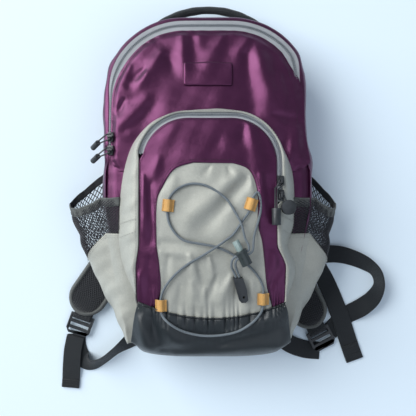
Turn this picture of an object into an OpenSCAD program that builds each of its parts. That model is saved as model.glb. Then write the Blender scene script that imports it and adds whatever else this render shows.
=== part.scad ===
// Zipped daypack lying on its back, front panel up, head end towards +Y.
// The origin is the middle of the back pad's outer face; the pad rests on z = 0.

/* [Body] */
// Half width of the body at its fullest
body_half_w = 137; // [125:1:145]
// Radius of the two upper corners
top_corner_r = 105; // [90:1:110]
// Top of the body above the middle of the back pad
body_top = 250; // [240:1:260]
// Half width of the body at its bottom corners
foot_half_w = 104; // [98:1:116]
// Bottom of the body below the middle of the back pad
body_bottom = 193; // [188:1:200]
// Thickness of a sewn fabric wall
wall = 2.5; // [1.5:0.1:3]
// Level of the back panel, on top of the pad and the straps
back_z = 14; // [14:0.5:18]
// Level at which the body is widest
girth_z = 46; // [40:1:56]

/* [Front panel] */
// Height of the front panel's crown
front_top = 94; // [90:1:98]
// Radius of curvature of the front panel
front_r = 1000; // [800:10:1400]
// Line above the pocket where the opened front panel folds
fold_y = 128; // [127:1:134]
// Lower end of the main zip
main_zip_end_y = 66; // [60:1:90]
// Width of the main zip's tapes and coil together
main_zip_w = 12.5; // [10:0.5:14]

/* [Front pocket] */
// Half width of the pocket's face
pocket_half_w = 90; // [84:1:94]
// Half width of the pocket where it meets the front panel
pocket_base_half_w = 108; // [100:1:112]
// Top of the pocket's face
pocket_top_y = 119; // [112:1:122]
// Lowest point of the pocket's curved bottom seam
pocket_foot_y = -141; // [-146:1:-134]
// Height of the pocket's crown
pocket_top = 120; // [116:1:124]
// Radius of curvature of the pocket's face
pocket_r = 520; // [450:10:700]
// Width of the pocket zip's tapes and coil together
pocket_zip_w = 8; // [7:0.5:10]

/* [Side pockets] */
// How far the left mesh pocket stands out at its mouth
bulge_left = 46; // [35:1:55]
// How far the right mesh pocket stands out at its mouth
bulge_right = 32; // [25:1:45]

/* [Harness] */
// Width of a padded shoulder strap
strap_w = 54; // [48:1:58]
// Thickness of a padded shoulder strap
strap_t = 12; // [9:0.5:12]
// Width of the webbing
webbing_w = 25; // [20:1:25]
// Thickness of the webbing
webbing_t = 1.6; // [1.2:0.1:2]
// Thickness of the tubular haul handle
handle_d = 11; // [9:0.5:12]

/* [Cord] */
// Diameter of the elastic cord
cord_d = 3; // [2.5:0.1:3.5]

/* [Hidden] */
eps = 0.3;
plum = "#5e2a55";
stone = "#bdbcb0";
charcoal = "#40464a";
black = "#23282c";
tape_grey = "#aab0b6";
apricot = "#e8b76a";

// ---- Outlines -------------------------------------------------------------------------------

function arc(cx, cy, r, a0, a1, n) =
    [for (i = [0:n]) let (a = a0 + (a1 - a0) * i / n) [cx + r * cos(a), cy + r * sin(a)]];

// A right half outline, listed from top to bottom, closed with its mirror image
function mirrored(half) =
    concat(half, [for (i = [len(half) - 1:-1:0]) [-half[i][0], half[i][1]]]);

side_corner_r = 30;
foot_corner_r = 32;
flank_turn = -11;

// Body outline, grown by g on every side
function body_pts(g) = mirrored(concat(
    arc(body_half_w - top_corner_r, body_top - top_corner_r, top_corner_r + g, 90, 0, 12),
    arc(body_half_w - side_corner_r, 5, side_corner_r + g, 0, flank_turn, 2),
    arc(foot_half_w - foot_corner_r, foot_corner_r - body_bottom, foot_corner_r + g, flank_turn, -90, 6)
));

pocket_x = 2;
pocket_corner_r = 62;
pocket_foot_r = 16;
pocket_sag_r = 221;
pocket_foot_cx = pocket_half_w - pocket_foot_r;
pocket_sag_cy = pocket_foot_y + pocket_sag_r;
pocket_foot_reach = pocket_sag_r - pocket_foot_r;
pocket_foot_cy = pocket_sag_cy - sqrt(pow(pocket_foot_reach, 2) - pow(pocket_foot_cx, 2));
pocket_foot_turn = atan2(pocket_foot_cy - pocket_sag_cy, pocket_foot_cx);

// Pocket face outline: an arched top and a sagging bottom seam
function face_pts(g) = mirrored(concat(
    arc(pocket_half_w - pocket_corner_r, pocket_top_y - pocket_corner_r, pocket_corner_r + g, 90, 0, 10),
    arc(pocket_foot_cx, pocket_foot_cy, pocket_foot_r + g, 0, pocket_foot_turn, 4),
    arc(0, pocket_sag_cy, pocket_sag_r + g, pocket_foot_turn, -90, 5)
));

// Pocket outline where its gusset meets the front panel
base_corner_r = 68;
base_top_y = 124;
base_foot_y = -150;
function base_pts(g) = mirrored(concat(
    arc(pocket_base_half_w - base_corner_r, base_top_y - base_corner_r, base_corner_r + g, 90, 0, 10),
    [[pocket_base_half_w + g, base_foot_y]]
));

insert_top_y = 54;
insert_corner_r = 42;
insert_half_w = 59;
insert_foot_half_w = 66;
insert_foot_y = -160;
// Outline of the pale panel let into the pocket's face
function insert_pts(g) = mirrored(concat(
    arc(insert_half_w - insert_corner_r, insert_top_y - insert_corner_r, insert_corner_r + g, 90, 0, 8),
    [[insert_foot_half_w + g, insert_foot_y]]
));

// ---- Crowned surfaces -----------------------------------------------------------------------

front_cy = 30;
pocket_cy = -8;
hill_reach = 300;

function front_z(x, y, d = 0) = front_top + d - (x * x + pow(y - front_cy, 2)) / (2 * front_r);
function pocket_z(x, y, d = 0) =
    pocket_top + d - (pow(x - pocket_x, 2) + pow(y - pocket_cy, 2)) / (2 * pocket_r);

// Everything under a paraboloid crown
module hill(top, r, reach) {
    rim = [for (i = [12:-1:0]) let (q = reach * i / 12) [q, top - q * q / (2 * r)]];
    rotate_extrude($fn = 96) polygon(concat([[0, -20], [reach, -20]], rim));
}
module front_hill(d) translate([0, front_cy, 0]) hill(front_top + d, front_r, hill_reach);
module pocket_hill(d) translate([pocket_x, pocket_cy, 0]) hill(pocket_top + d, pocket_r, 190);

module prism(pts, z0, z1) translate([0, 0, z0]) linear_extrude(z1 - z0) polygon(pts);
module face_prism(g) translate([pocket_x, 0, 0]) prism(face_pts(g), 0, 140);

// A skin of the front panel between two depths below its crown
module front_skin(pts, d0, d1) {
    intersection() {
        prism(pts, 60, 120);
        difference() {
            front_hill(d1);
            front_hill(d0);
        }
    }
}

module pocket_skin(d0, d1) {
    difference() {
        pocket_hill(d1);
        pocket_hill(d0);
    }
}

module above_y(y, x0 = -300) translate([x0, y, -50]) cube([600, 600, 300]);
module below_y(y) translate([-300, y - 600, -50]) cube([600, 600, 300]);

// ---- Main body ------------------------------------------------------------------------------

back_inset = 14;

module back_panel() color(plum) prism(body_pts(-back_inset), back_z, back_z + wall);

module back_foam() color("white")
    prism(body_pts(-back_inset - 16), back_z + wall + eps, back_z + wall + 5);

pad_t = back_z - 0.2;
pad_pts = mirrored([[20, 182], [20, 70], [30, 34], [44, -20], [60, -66], [78, -104], [92, -132], [92, -176]]);

// Lumbar and spine pad, narrower between the shoulder straps, resting on z = 0
module back_pad() color(black) prism(pad_pts, 0, pad_t);

yoke_w = 144;
yoke_h = 44;
yoke_y = 190;
yoke_t = 1.4;
// Patch that covers the upper ends of the straps
module yoke_patch() color(charcoal) translate([-yoke_w / 2, yoke_y, strap_t + eps])
    cube([yoke_w, yoke_h, yoke_t]);

module layer(z, g) translate([0, 0, z]) linear_extrude(0.1) polygon(body_pts(g));

module body_hull(g, z0, z1) hull() {
    layer(z0, g - back_inset);
    layer(girth_z, g);
    layer(z1, g - 9);
}

shell_end_y = -146;
shell_top_z = 86;
// How far the zip lies below the front panel's crown
zip_drop = 4;

// Side gusset of the main compartment, an open tube from the back panel to the zip
module main_shell() color(plum) {
    intersection() {
        difference() {
            body_hull(0, back_z + wall + eps, shell_top_z);
            body_hull(-wall, back_z + wall - 1, shell_top_z + 1);
        }
        front_hill(-zip_drop - 1.8);
        above_y(shell_end_y);
    }
}

zip_outer_g = -7.5;
zip_inner_g = zip_outer_g - main_zip_w;

// Front panel under the pocket, carried out to the gusset below the zip's ends
module front_panel() color(plum) difference() {
    union() {
        front_skin(body_pts(zip_inner_g - eps), -wall, 0);
        intersection() {
            front_skin(body_pts(zip_outer_g), -wall - 1, -0.4);
            below_y(main_zip_end_y - eps);
        }
    }
    above_y(fold_y - 0.2);
    below_y(-168);
}

module front_flap() color(plum) intersection() {
    front_skin(body_pts(zip_inner_g - eps), -wall, 0);
    above_y(fold_y + 0.2);
}

// Coated base seen from the side, from the back panel round to the pocket's bottom seam: y and z
base_outer = [[-190, back_z + 3], [-194, 30], [-195, 52], [-190, 72], [-180, 88], [-165, 99], [-146, 105]];
base_upright_points = 3;
base_inner = [for (i = [len(base_outer) - 1:-1:0])
    base_outer[i] + [2.4, i < base_upright_points ? 0 : -1.8]];
base_half_w = 98;
module bottom_panel() color(charcoal)
    translate([-base_half_w, 0, 0]) rotate([90, 0, 90]) linear_extrude(2 * base_half_w)
        polygon(concat(base_outer, base_inner));

// ---- Main zip -------------------------------------------------------------------------------

zip_mid_g = (zip_outer_g + zip_inner_g) / 2;
coil_w = 1.8;

// One half of the main zip: a tape and half of the coil along its edge
module main_zip_half(g_out, g_in, coil_g0, coil_g1) {
    difference() {
        front_skin(body_pts(g_out), -zip_drop - 1.5, -zip_drop);
        prism(body_pts(g_in), 0, 200);
    }
    difference() {
        front_skin(body_pts(coil_g1), -zip_drop, -zip_drop + 1.5);
        prism(body_pts(coil_g0), 0, 200);
    }
}

// The two halves of the zip stand this far either side of its middle line
coil_gap = 0.2;
module main_zip_inner_half() {
    edge = zip_mid_g - coil_gap;
    main_zip_half(edge, zip_inner_g, edge - coil_w, edge);
}

module main_zip_outer() color(tape_grey) intersection() {
    edge = zip_mid_g + coil_gap;
    main_zip_half(zip_outer_g, edge, edge, edge + coil_w);
    above_y(main_zip_end_y);
}

module main_zip_flap() color(tape_grey) intersection() {
    main_zip_inner_half();
    above_y(fold_y + 0.2);
}

module main_zip_legs() color(tape_grey) difference() {
    main_zip_inner_half();
    above_y(fold_y - 0.2);
    below_y(main_zip_end_y);
}

// ---- Front pocket ---------------------------------------------------------------------------

gusset_end_y = -128;
band_top_y = -118;
zip_left_end_y = 68;
zip_right_end_y = 8;

module pocket_hull(g) hull() {
    translate([pocket_x, 0, 74]) linear_extrude(0.1) polygon(base_pts(g));
    translate([pocket_x, 0, 114]) linear_extrude(0.1) polygon(face_pts(g));
}

// Side walls of the pocket, from the front panel up to the face
module pocket_gusset() color(stone) difference() {
    pocket_hull(0);
    pocket_hull(-wall);
    front_hill(eps);
    below_y(gusset_end_y);
    difference() {
        translate([-200, -200, 60]) cube([400, 400, 80]);
        pocket_hill(-wall - 0.7);
    }
}

// Ground covered by the pocket zip: the arch and the whole right leg
module pocket_zip_zone(g_out, g_in) difference() {
    face_prism(g_out);
    face_prism(g_in);
    difference() {
        below_y(zip_left_end_y);
        above_y(zip_right_end_y, 0);
    }
}

module pocket_front() color(plum) difference() {
    intersection() {
        pocket_skin(-wall, 0);
        face_prism(0);
    }
    pocket_zip_zone(1, -pocket_zip_w - eps);
    translate([pocket_x, 0, 0]) prism(insert_pts(0), 0, 140);
    below_y(band_top_y);
}

module pocket_insert() color(stone) difference() {
    intersection() {
        pocket_skin(-wall, 0);
        face_prism(0);
        translate([pocket_x, 0, 0]) prism(insert_pts(-eps), 0, 140);
    }
    below_y(band_top_y);
}

// Gathered band along the bottom seam, a little prouder than the face
band_rise = 0.1;
module pocket_base_band() color(charcoal) difference() {
    intersection() {
        pocket_skin(-wall - 1, band_rise);
        face_prism(0);
    }
    above_y(band_top_y - eps);
}

// The pocket zip's tapes lie this far below the face
pocket_zip_drop = 1.2;
module pocket_zip_half(g_out, g_in, coil_out, coil_in) {
    intersection() {
        pocket_skin(-wall, -pocket_zip_drop);
        pocket_zip_zone(g_out, g_in);
    }
    intersection() {
        pocket_skin(-pocket_zip_drop, 0);
        pocket_zip_zone(coil_out, coil_in);
    }
}

pocket_zip_mid = -pocket_zip_w / 2;
pocket_coil_w = 1.5;
pocket_coil_gap = 0.15;
module pocket_zip_outer() color(tape_grey) {
    edge = pocket_zip_mid + pocket_coil_gap;
    pocket_zip_half(0, edge, edge + pocket_coil_w, edge);
}
module pocket_zip_inner() color(tape_grey) {
    edge = pocket_zip_mid - pocket_coil_gap;
    pocket_zip_half(edge, -pocket_zip_w, edge, edge - pocket_coil_w);
}

patch_w = 62;
patch_h = 30;
patch_y = 170;

// Plain blank patch on the upper panel
module label_patch() color(plum) translate([0, patch_y, 0]) intersection() {
    translate([-patch_w / 2, -patch_h / 2, 60]) cube([patch_w, patch_h, 60]);
    translate([0, -patch_y, 0]) difference() {
        front_hill(1.1);
        front_hill(eps);
    }
}

// ---- Side pockets ---------------------------------------------------------------------------

// Half width of the body's flank at height y
function flank(y) = y > 5 ? body_half_w : body_half_w - (5 - y) * (body_half_w - foot_half_w + 4) / 190;
function mix(a, b, t) = a + (b - a) * t;
function quad(a, b, c, t) = (1 - t) * (1 - t) * a + 2 * t * (1 - t) * (2 * b - (a + c) / 2) + t * t * c;

// Lines across the side pocket, u = 0 at the front seam, 1 at the back seam
function mouth_y(u) = quad(13, 4, 66, u);
function join_y(u) = quad(-32, -70, -78, u);
function toe_y(u) = quad(-174, -180, -184, u);

// How far the pocket stands out at height y: from a thin toe straight up to the corner, then to the mouth
bulge_toe = 1.5;
bulge_corner = 35;
function bulge(y, top) = y > -70
    ? mix(bulge_corner, top, 1 - pow(1 - (y + 70) / 74, 2))
    : mix(bulge_toe, bulge_corner, (y + 184) / 114);

// The sheet's seams are at these levels on the pack's flank
side_front_z = 74;
side_back_z = 19;
side_back_tuck = 16;
function side_tuck(u) = u < 0.5 ? 0 : side_back_tuck * pow(2 * u - 1, 2);
function side_point(u, y, top, inset) = [
    flank(y) + 1 - side_tuck(u) + (bulge(min(y, 20), top) - inset) * sin(180 * u),
    y,
    mix(side_front_z, side_back_z, u) + 2 * sin(360 * u)
];

// A closed sheet between an outer and an inner grid of points
module sheet(outer, inner) {
    nu = len(outer);
    nv = len(outer[0]);
    n = nu * nv;
    pts = concat([for (r = outer) for (p = r) p], [for (r = inner) for (p = r) p]);
    function at(i, j, k) = k * n + i * nv + j;
    skins = [for (i = [0:nu - 2]) for (j = [0:nv - 2]) each [
        [at(i, j, 0), at(i, j + 1, 0), at(i + 1, j + 1, 0)],
        [at(i, j, 0), at(i + 1, j + 1, 0), at(i + 1, j, 0)],
        [at(i, j, 1), at(i + 1, j + 1, 1), at(i, j + 1, 1)],
        [at(i, j, 1), at(i + 1, j, 1), at(i + 1, j + 1, 1)]]];
    ends_u = [for (j = [0:nv - 2]) each [
        [at(0, j, 0), at(0, j, 1), at(0, j + 1, 1)], [at(0, j, 0), at(0, j + 1, 1), at(0, j + 1, 0)],
        [at(nu - 1, j, 0), at(nu - 1, j + 1, 1), at(nu - 1, j, 1)],
        [at(nu - 1, j, 0), at(nu - 1, j + 1, 0), at(nu - 1, j + 1, 1)]]];
    ends_v = [for (i = [0:nu - 2]) each [
        [at(i, 0, 0), at(i + 1, 0, 1), at(i, 0, 1)], [at(i, 0, 0), at(i + 1, 0, 0), at(i + 1, 0, 1)],
        [at(i, nv - 1, 0), at(i, nv - 1, 1), at(i + 1, nv - 1, 1)],
        [at(i, nv - 1, 0), at(i + 1, nv - 1, 1), at(i + 1, nv - 1, 0)]]];
    polyhedron(pts, concat(skins, ends_u, ends_v));
}

side_steps = 14;
side_rows = 8;
mesh_t = 1.6;

// Rows of the side pocket between two cross lines, t0 and t1 give the share of each line
function side_grid(top, inset, low, t0, t1) = [for (i = [0:side_steps]) let (u = i / side_steps)
    [for (j = [0:side_rows]) let (t = mix(t0, t1, j / side_rows))
        side_point(u, low ? mix(join_y(u), toe_y(u), t) : mix(mouth_y(u), join_y(u), t), top, inset)]];

module side_sheet(top, low, t0, t1, out = 0)
    sheet(side_grid(top, -out, low, t0, t1), side_grid(top, mesh_t, low, t0, t1));

module mesh_pocket(top) side_sheet(top, false, 0.09, 1);
module side_wing(top) side_sheet(top, true, 0.004, 1);
module mesh_binding(top) side_sheet(top, false, 0, 0.08, 1.2);

module mesh_pocket_left() color(black) mirror([1, 0, 0]) mesh_pocket(bulge_left);
module mesh_pocket_right() color(black) mesh_pocket(bulge_right);
module side_wing_left() color(stone) mirror([1, 0, 0]) side_wing(bulge_left);
module side_wing_right() color(stone) side_wing(bulge_right);
module mesh_binding_left() color(charcoal) mirror([1, 0, 0]) mesh_binding(bulge_left);
module mesh_binding_right() color(charcoal) mesh_binding(bulge_right);

// ---- Cords and ribbons ----------------------------------------------------------------------

// A smooth path through the points p, n steps for each stretch
function spline(p, n) = let (m = len(p) - 1) concat(
    [for (i = [0:m - 1]) for (k = [0:n - 1])
        let (a = p[max(i - 1, 0)], b = p[i], c = p[i + 1], d = p[min(i + 2, m)], t = k / n)
        0.5 * (2 * b + (c - a) * t + (2 * a - 5 * b + 4 * c - d) * t * t
            + (3 * b - a - 3 * c + d) * t * t * t)],
    [p[m]]);

function unit(v) = v / norm(v);
function xyz(p) = [p[0], p[1], p[2]];
function tangent(p, i) = unit(xyz(p[min(i + 1, len(p) - 1)]) - xyz(p[max(i - 1, 0)]));

// Sweep a section along a path whose fourth value is the section's roll in degrees
module sweep(path, section) {
    m = len(section);
    pts = [for (i = [0:len(path) - 1])
        let (t = tangent(path, i), s = unit(cross(t, [0, 0, 1])), u = cross(s, t), r = path[i][3])
        for (q = section)
            xyz(path[i]) + (q[0] * cos(r) - q[1] * sin(r)) * s + (q[0] * sin(r) + q[1] * cos(r)) * u];
    n = len(path);
    walls = [for (i = [0:n - 2]) for (j = [0:m - 1]) let (k = (j + 1) % m) each [
        [i * m + j, i * m + k, (i + 1) * m + k], [i * m + j, (i + 1) * m + k, (i + 1) * m + j]]];
    caps = [[for (j = [m - 1:-1:0]) j], [for (j = [0:m - 1]) (n - 1) * m + j]];
    polyhedron(pts, concat(walls, caps));
}

function round_section(d, sides) =
    [for (i = [0:sides - 1]) let (a = -360 * i / sides) d / 2 * [cos(a), sin(a)]];
function flat_section(w, t) = [[-w / 2, -t / 2], [-w / 2, t / 2], [w / 2, t / 2], [w / 2, -t / 2]];

module rod(p, q, d) {
    v = q - p;
    translate(p) rotate([0, acos(v[2] / norm(v)), atan2(v[1], v[0])]) cylinder(h = norm(v), d = d, $fn = 24);
}

// ---- Elastic cord and its fittings ----------------------------------------------------------

// Where the cord lies on the pocket: x, y and lift above the fabric, from clip to clip
bungee_route = [
    [34, -84, 2], [31, -77, 3], [28, -70, 6], [29, -62, 9], [32.2, -58.4, 9.5], [36.2, -56.4, 9.5],
    [44.2, -52.4, 9.5], [48.2, -50.4, 9.5], [48.5, -45, 7], [44, -35, 3.5], [40, -19, 3.6], [32, -4, 1],
    [23, 10, 0], [9, 21, 0], [-6, 28, 0], [-22, 29, 0], [-37, 23, 0], [-46, 13, 0], [-48, 3, 0],
    [-49, -7, 0], [-46, -20, 0], [-37, -33, 0], [-26, -40, 0], [-10, -43, 0], [10, -47, 0],
    [28, -55, 0], [48, -69, 0], [60, -82, 0], [67, -96, 0], [68, -112, 0], [67, -124, 0.6],
    [62, -133, 3], [52, -142, 2], [36, -152, 1], [14, -157, 1], [-10, -157, 1], [-32, -151, 1],
    [-48, -141, 2], [-56.6, -132, 0.5], [-58, -120, 0], [-57, -108, 0], [-52, -96, 0], [-41, -82, 0],
    [-26, -69, 0], [-6, -57, 1.5], [4, -50.5, 3.6], [14, -44, 3.6], [23, -37.5, 1.5], [31, -31, 0],
    [42, -15, 0], [49, -5, 0], [52, 4, 0], [55, 14, 0], [60, 19, 0], [63.6, 10, 0], [63.4, -4, 0],
    [60, -18, 0], [56, -32, 1], [54.5, -42, 4], [53.5, -50, 8], [50, -54, 9.5], [46, -56, 9.5],
    [38, -60, 9.5], [34, -62, 9.5], [32.8, -68, 7], [35, -76, 3], [38, -84, 2]
];

base_slope = 6 / 19;
base_edge_y = -146;
base_edge_z = 105;
// Height of the fabric under the cord: the pocket's face, then the coated base below its seam
function rest_z(x, y) = y < -136
    ? max(pocket_z(x, y), base_edge_z + min(0, (y - base_edge_y) * base_slope))
    : pocket_z(x, y);
function cord_z(p) = rest_z(p[0], p[1]) + cord_d / 2 + eps + p[2];
bungee_path = [for (p = bungee_route) [p[0], p[1], cord_z(p), 0]];

module bungee_cord() color("#9aa7b4") sweep(bungee_path, round_section(cord_d, 8));

// Turns of a flat thing that lies on the pocket's face at a point
function lie_on_pocket(x, y) = [atan((pocket_cy - y) / pocket_r), atan((x - pocket_x) / pocket_r), 0];

loop_w = 13;
loop_l = 15;
loop_t = 5.6;
loop_base = band_rise + 0.2;
loop_bore = cord_d + 1.8;

// Folded ribbon tab with a channel for the cord, lying on the pocket's face
module lace_loop(x, y, turn) color(apricot)
    translate([x, y, rest_z(x, y) + loop_base]) rotate(lie_on_pocket(x, y)) rotate([0, 0, turn])
        difference() {
            translate([-loop_w / 2, -loop_l / 2, 0]) cube([loop_w, loop_l, loop_t]);
            translate([0, loop_l, cord_d / 2 + eps - loop_base + 0.2]) rotate([90, 0, 0])
                cylinder(d = loop_bore, h = 2 * loop_l, $fn = 24);
        }

module lace_loop_top_left() lace_loop(-48, 3, -6);
module lace_loop_top_right() lace_loop(52, 4.5, -17);
module lace_loop_bottom_left() lace_loop(-57.7, -120, 0);
module lace_loop_bottom_right() lace_loop(67.8, -112, 0);

clip_t = 7;
clip_top = [36, -84, 2];
// Clamp that closes over both ends of the cord and lies along the pocket's face
module cord_end_clip() color(black) translate([clip_top[0], clip_top[1], cord_z(clip_top)])
    rotate(lie_on_pocket(42, -100)) translate([0, 0, -3.2]) difference() {
        linear_extrude(clip_t)
            polygon([[-6, -0.2], [6, -0.2], [11, -14], [13, -28], [10, -31], [5, -31], [2, -28]]);
        translate([7.5, -24, -1]) cylinder(d = 3, h = clip_t + 2, $fn = 24);
    }

lock_x = 41.1;
lock_y = -56.2;
lock_turn = -63.4;
lock_lift = 9.5;
lock_barrel_r = 6.5;
lock_button_r = 4.2;
lock_bore_r = 4.5;
lock_travel = 3;

// Cord lock frame: local X runs from the button to the closed end of the barrel
module at_lock() translate([lock_x, lock_y, cord_z([lock_x, lock_y, lock_lift])])
    rotate([0, 0, lock_turn]) children();
module along_x(x0, x1, r) translate([x0, 0, 0]) rotate([0, 90, 0]) cylinder(r = r, h = x1 - x0, $fn = 48);
module cord_slot(x0, x1) translate([x0, -20, -2.2]) cube([x1 - x0, 40, 4.4]);

module cord_lock_barrel() color(black) at_lock() difference() {
    union() {
        along_x(-6, 13, lock_barrel_r);
        along_x(-6, -3, lock_barrel_r + 1);
    }
    along_x(-7, 12, lock_bore_r);
    cord_slot(-4.4, 4.4);
}

module cord_lock_button() color("#7f9492") at_lock() difference() {
    along_x(-19, 6, lock_button_r);
    cord_slot(-4.4 - lock_travel, 4.2);
}

module cord_lock_spring() color("silver") at_lock() difference() {
    along_x(6.2, 11.8, 3.6);
    along_x(6, 12, 2.9);
}

// ---- Zip sliders and pulls ------------------------------------------------------------------

main_leg_x = -(body_half_w + zip_mid_g);
main_slider_ys = [90, 73];
pocket_leg_x = pocket_x + pocket_half_w + pocket_zip_mid;
pocket_slider_ys = [33, 16];
bail_z = 6.4;

// Frame on a zip's left or right leg: local Y along the zip, local Z out of the fabric
module at_main(y) translate([main_leg_x, y, front_z(main_leg_x, y, -zip_drop)])
    rotate([atan((front_cy - y) / front_r), atan(main_leg_x / front_r), 0]) children();
module at_pocket(y) translate([pocket_leg_x, y, pocket_z(pocket_leg_x, y, -pocket_zip_drop)])
    rotate(lie_on_pocket(pocket_leg_x, y)) children();

// Zip slider with a groove for the coil and a bail across its top
module zip_slider(bail_turn) {
    difference() {
        translate([0, 0, 0.4]) linear_extrude(4)
            polygon([[-3, -6], [3, -6], [4.2, 2], [3.4, 6], [-3.4, 6], [-4.2, 2]]);
        translate([-2.4, -10, 0]) cube([4.8, 20, 2.1]);
    }
    rotate([0, 0, bail_turn]) difference() {
        translate([-1.3, -3.4, 4.4]) cube([2.6, 6.8, 4.2]);
        translate([-5, 0, bail_z]) rotate([0, 90, 0]) cylinder(d = 2.8, h = 10, $fn = 24);
    }
}

pull_cord_d = 1.8;

// Cord through a bail: a bar across it and strands that run on to a grip, each a list of x and y
module pull_cord(strands, dip = 0) {
    half_bar = strands[0][0][0] + 0.2;
    rod([-half_bar, 0, 0], [half_bar, 0, 0], pull_cord_d);
    for (s = strands) {
        last = len(s) - 1;
        points = [for (i = [0:last]) [s[i][0], s[i][1], -dip * i / last]];
        for (i = [1:last]) rod(points[i - 1], points[i], pull_cord_d);
        if (last > 1) for (i = [1:last - 1]) translate(points[i]) sphere(d = pull_cord_d + 0.3, $fn = 24);
    }
}

module barrel_grip(l, d) rotate([90, 0, 0]) cylinder(d = d, h = l, $fn = 32);

module main_slider_upper() color(black) at_main(main_slider_ys[0]) zip_slider(90);
module main_slider_lower() color(black) at_main(main_slider_ys[1]) zip_slider(90);

pull_droop = 42;
pull_lean = 26;
// Corded pull that hangs outwards and down over the flank
module main_pull(y) color(black) at_main(y) translate([0, 0, bail_z]) rotate([0, 0, -90]) {
    pull_cord([[[3, 0.4], [9.2, -15.8]], [[-3, 0.4], [-2.6, -4.8], [6.8, -16.8]]], 1);
    translate([7.6, -15.4, -1]) rotate([pull_droop, 0, pull_lean]) barrel_grip(15, 7);
}
module main_pull_upper() main_pull(main_slider_ys[0]);
module main_pull_lower() main_pull(main_slider_ys[1]);

module pocket_slider_upper() color(black) at_pocket(pocket_slider_ys[0]) zip_slider(0);
module pocket_slider_lower() color(black) at_pocket(pocket_slider_ys[1]) zip_slider(0);

// Corded pull that hangs past the inner side of the lower slider
module barrel_pull() color(black) at_pocket(pocket_slider_ys[0]) translate([0, 0, bail_z]) {
    pull_cord([
        [[2.6, 0.3], [2.4, -5], [-5.4, -11.6], [-6.2, -35]],
        [[-2.6, 0.3], [-3.6, -4.4], [-8.2, -10], [-8.8, -35]]
    ]);
    translate([-7.5, -34, 0]) barrel_grip(20, 11);
}

disc_r = 9;
// Corded pull with a flat disc that leans over the pocket's edge
module disc_pull() color(black) at_pocket(pocket_slider_ys[1]) translate([0, 0, bail_z]) {
    pull_cord([[[2.6, 0.3], [5.6, -8]], [[-2.6, 0.3], [-2.2, -4.6], [2.6, -9]]]);
    translate([8.5, -15.5, -2.5]) cylinder(r = disc_r, h = 5, $fn = 48);
}

// ---- Haul handle ----------------------------------------------------------------------------

handle_r = 120;
handle_cy = 152;
handle_z = 24;
handle_half_angle = 52;
module haul_handle() color(black)
    translate([0, handle_cy, handle_z]) rotate([0, 0, 90 - handle_half_angle])
        rotate_extrude(angle = 2 * handle_half_angle, $fn = 128)
            translate([handle_r, 0]) circle(d = handle_d, $fn = 32);

// ---- Shoulder straps ------------------------------------------------------------------------

strap_route_left = [[-46, 186], [-49, 150], [-56, 95], [-70, 38], [-95, -14], [-128, -66], [-168, -124]];
strap_route_right = [[46, 186], [49, 150], [56, 95], [68, 38], [86, -20], [110, -80], [140, -142]];
strap_neck_w = 44;

function flat_path(p) = [for (q = p) [q[0], q[1], 0]];
function side_of(p, i, w) = let (t = tangent(flat_path(p), i)) [p[i][0] - t[1] * w, p[i][1] + t[0] * w];
function strap_path(route) = [for (q = spline(flat_path(route), 4)) [q[0], q[1]]];
function strap_half(i, n) = mix(strap_neck_w, strap_w, min(1, 2 * i / n)) / 2;

// Strap outline grown by g: two sides and a round lower end
module strap_shape(route, g) {
    p = strap_path(route);
    n = len(p) - 1;
    r = strap_w / 2 + g;
    way = p[n] - p[n - 1];
    heading = atan2(way[1], way[0]);
    polygon(concat(
        [for (i = [0:n - 1]) side_of(p, i, -strap_half(i, n) - g)],
        arc(p[n][0], p[n][1], r, heading - 90, heading + 90, 12),
        [for (i = [n - 1:-1:0]) side_of(p, i, strap_half(i, n) + g)]));
}

binding_t = 2;
binding_grey = "#6f7472";
module shoulder_strap(route) color(black) linear_extrude(strap_t) strap_shape(route, -binding_t);
module strap_binding(route) color(binding_grey)
    translate([0, 0, binding_t]) linear_extrude(strap_t - 2 * binding_t) difference() {
        strap_shape(route, 0);
        strap_shape(route, -binding_t + 0.05);
    }

module shoulder_strap_left() shoulder_strap(strap_route_left);
module shoulder_strap_right() shoulder_strap(strap_route_right);
module strap_binding_left() strap_binding(strap_route_left);
module strap_binding_right() strap_binding(strap_route_right);

ladder_left = [-181, -165, -20];
ladder_right = [160, -184, 27];

module at_ladder(l) translate([l[0], l[1], 0]) rotate([0, 0, l[2]]) children();

// Webbing tab sewn to the strap's end, around the buckle's upper bar
module strap_tab(l) color(black) at_ladder(l) {
    for (z = [0.6, 8]) translate([-webbing_w / 2, 8.2, z]) cube([webbing_w, 16, 1.4]);
    translate([-webbing_w / 2, 8.2, 0.6]) cube([webbing_w, 1.3, 8.8]);
}
module strap_tab_left() strap_tab(ladder_left);
module strap_tab_right() strap_tab(ladder_right);

// Flat buckle with three bars: the tab holds the top one, the webbing wraps the lower two
module ladder_lock(l) color(black) at_ladder(l) translate([0, 0, 3]) linear_extrude(4) difference() {
    polygon([[-17, 14.5], [17, 14.5], [17, -8], [12, -14], [-12, -14], [-17, -8]]);
    for (slot = [[5.4, 5], [-3.6, 5], [-11.2, 4]]) translate([-13.4, slot[0]]) square([26.8, slot[1]]);
}
module ladder_lock_left() ladder_lock(ladder_left);
module ladder_lock_right() ladder_lock(ladder_right);

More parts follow.
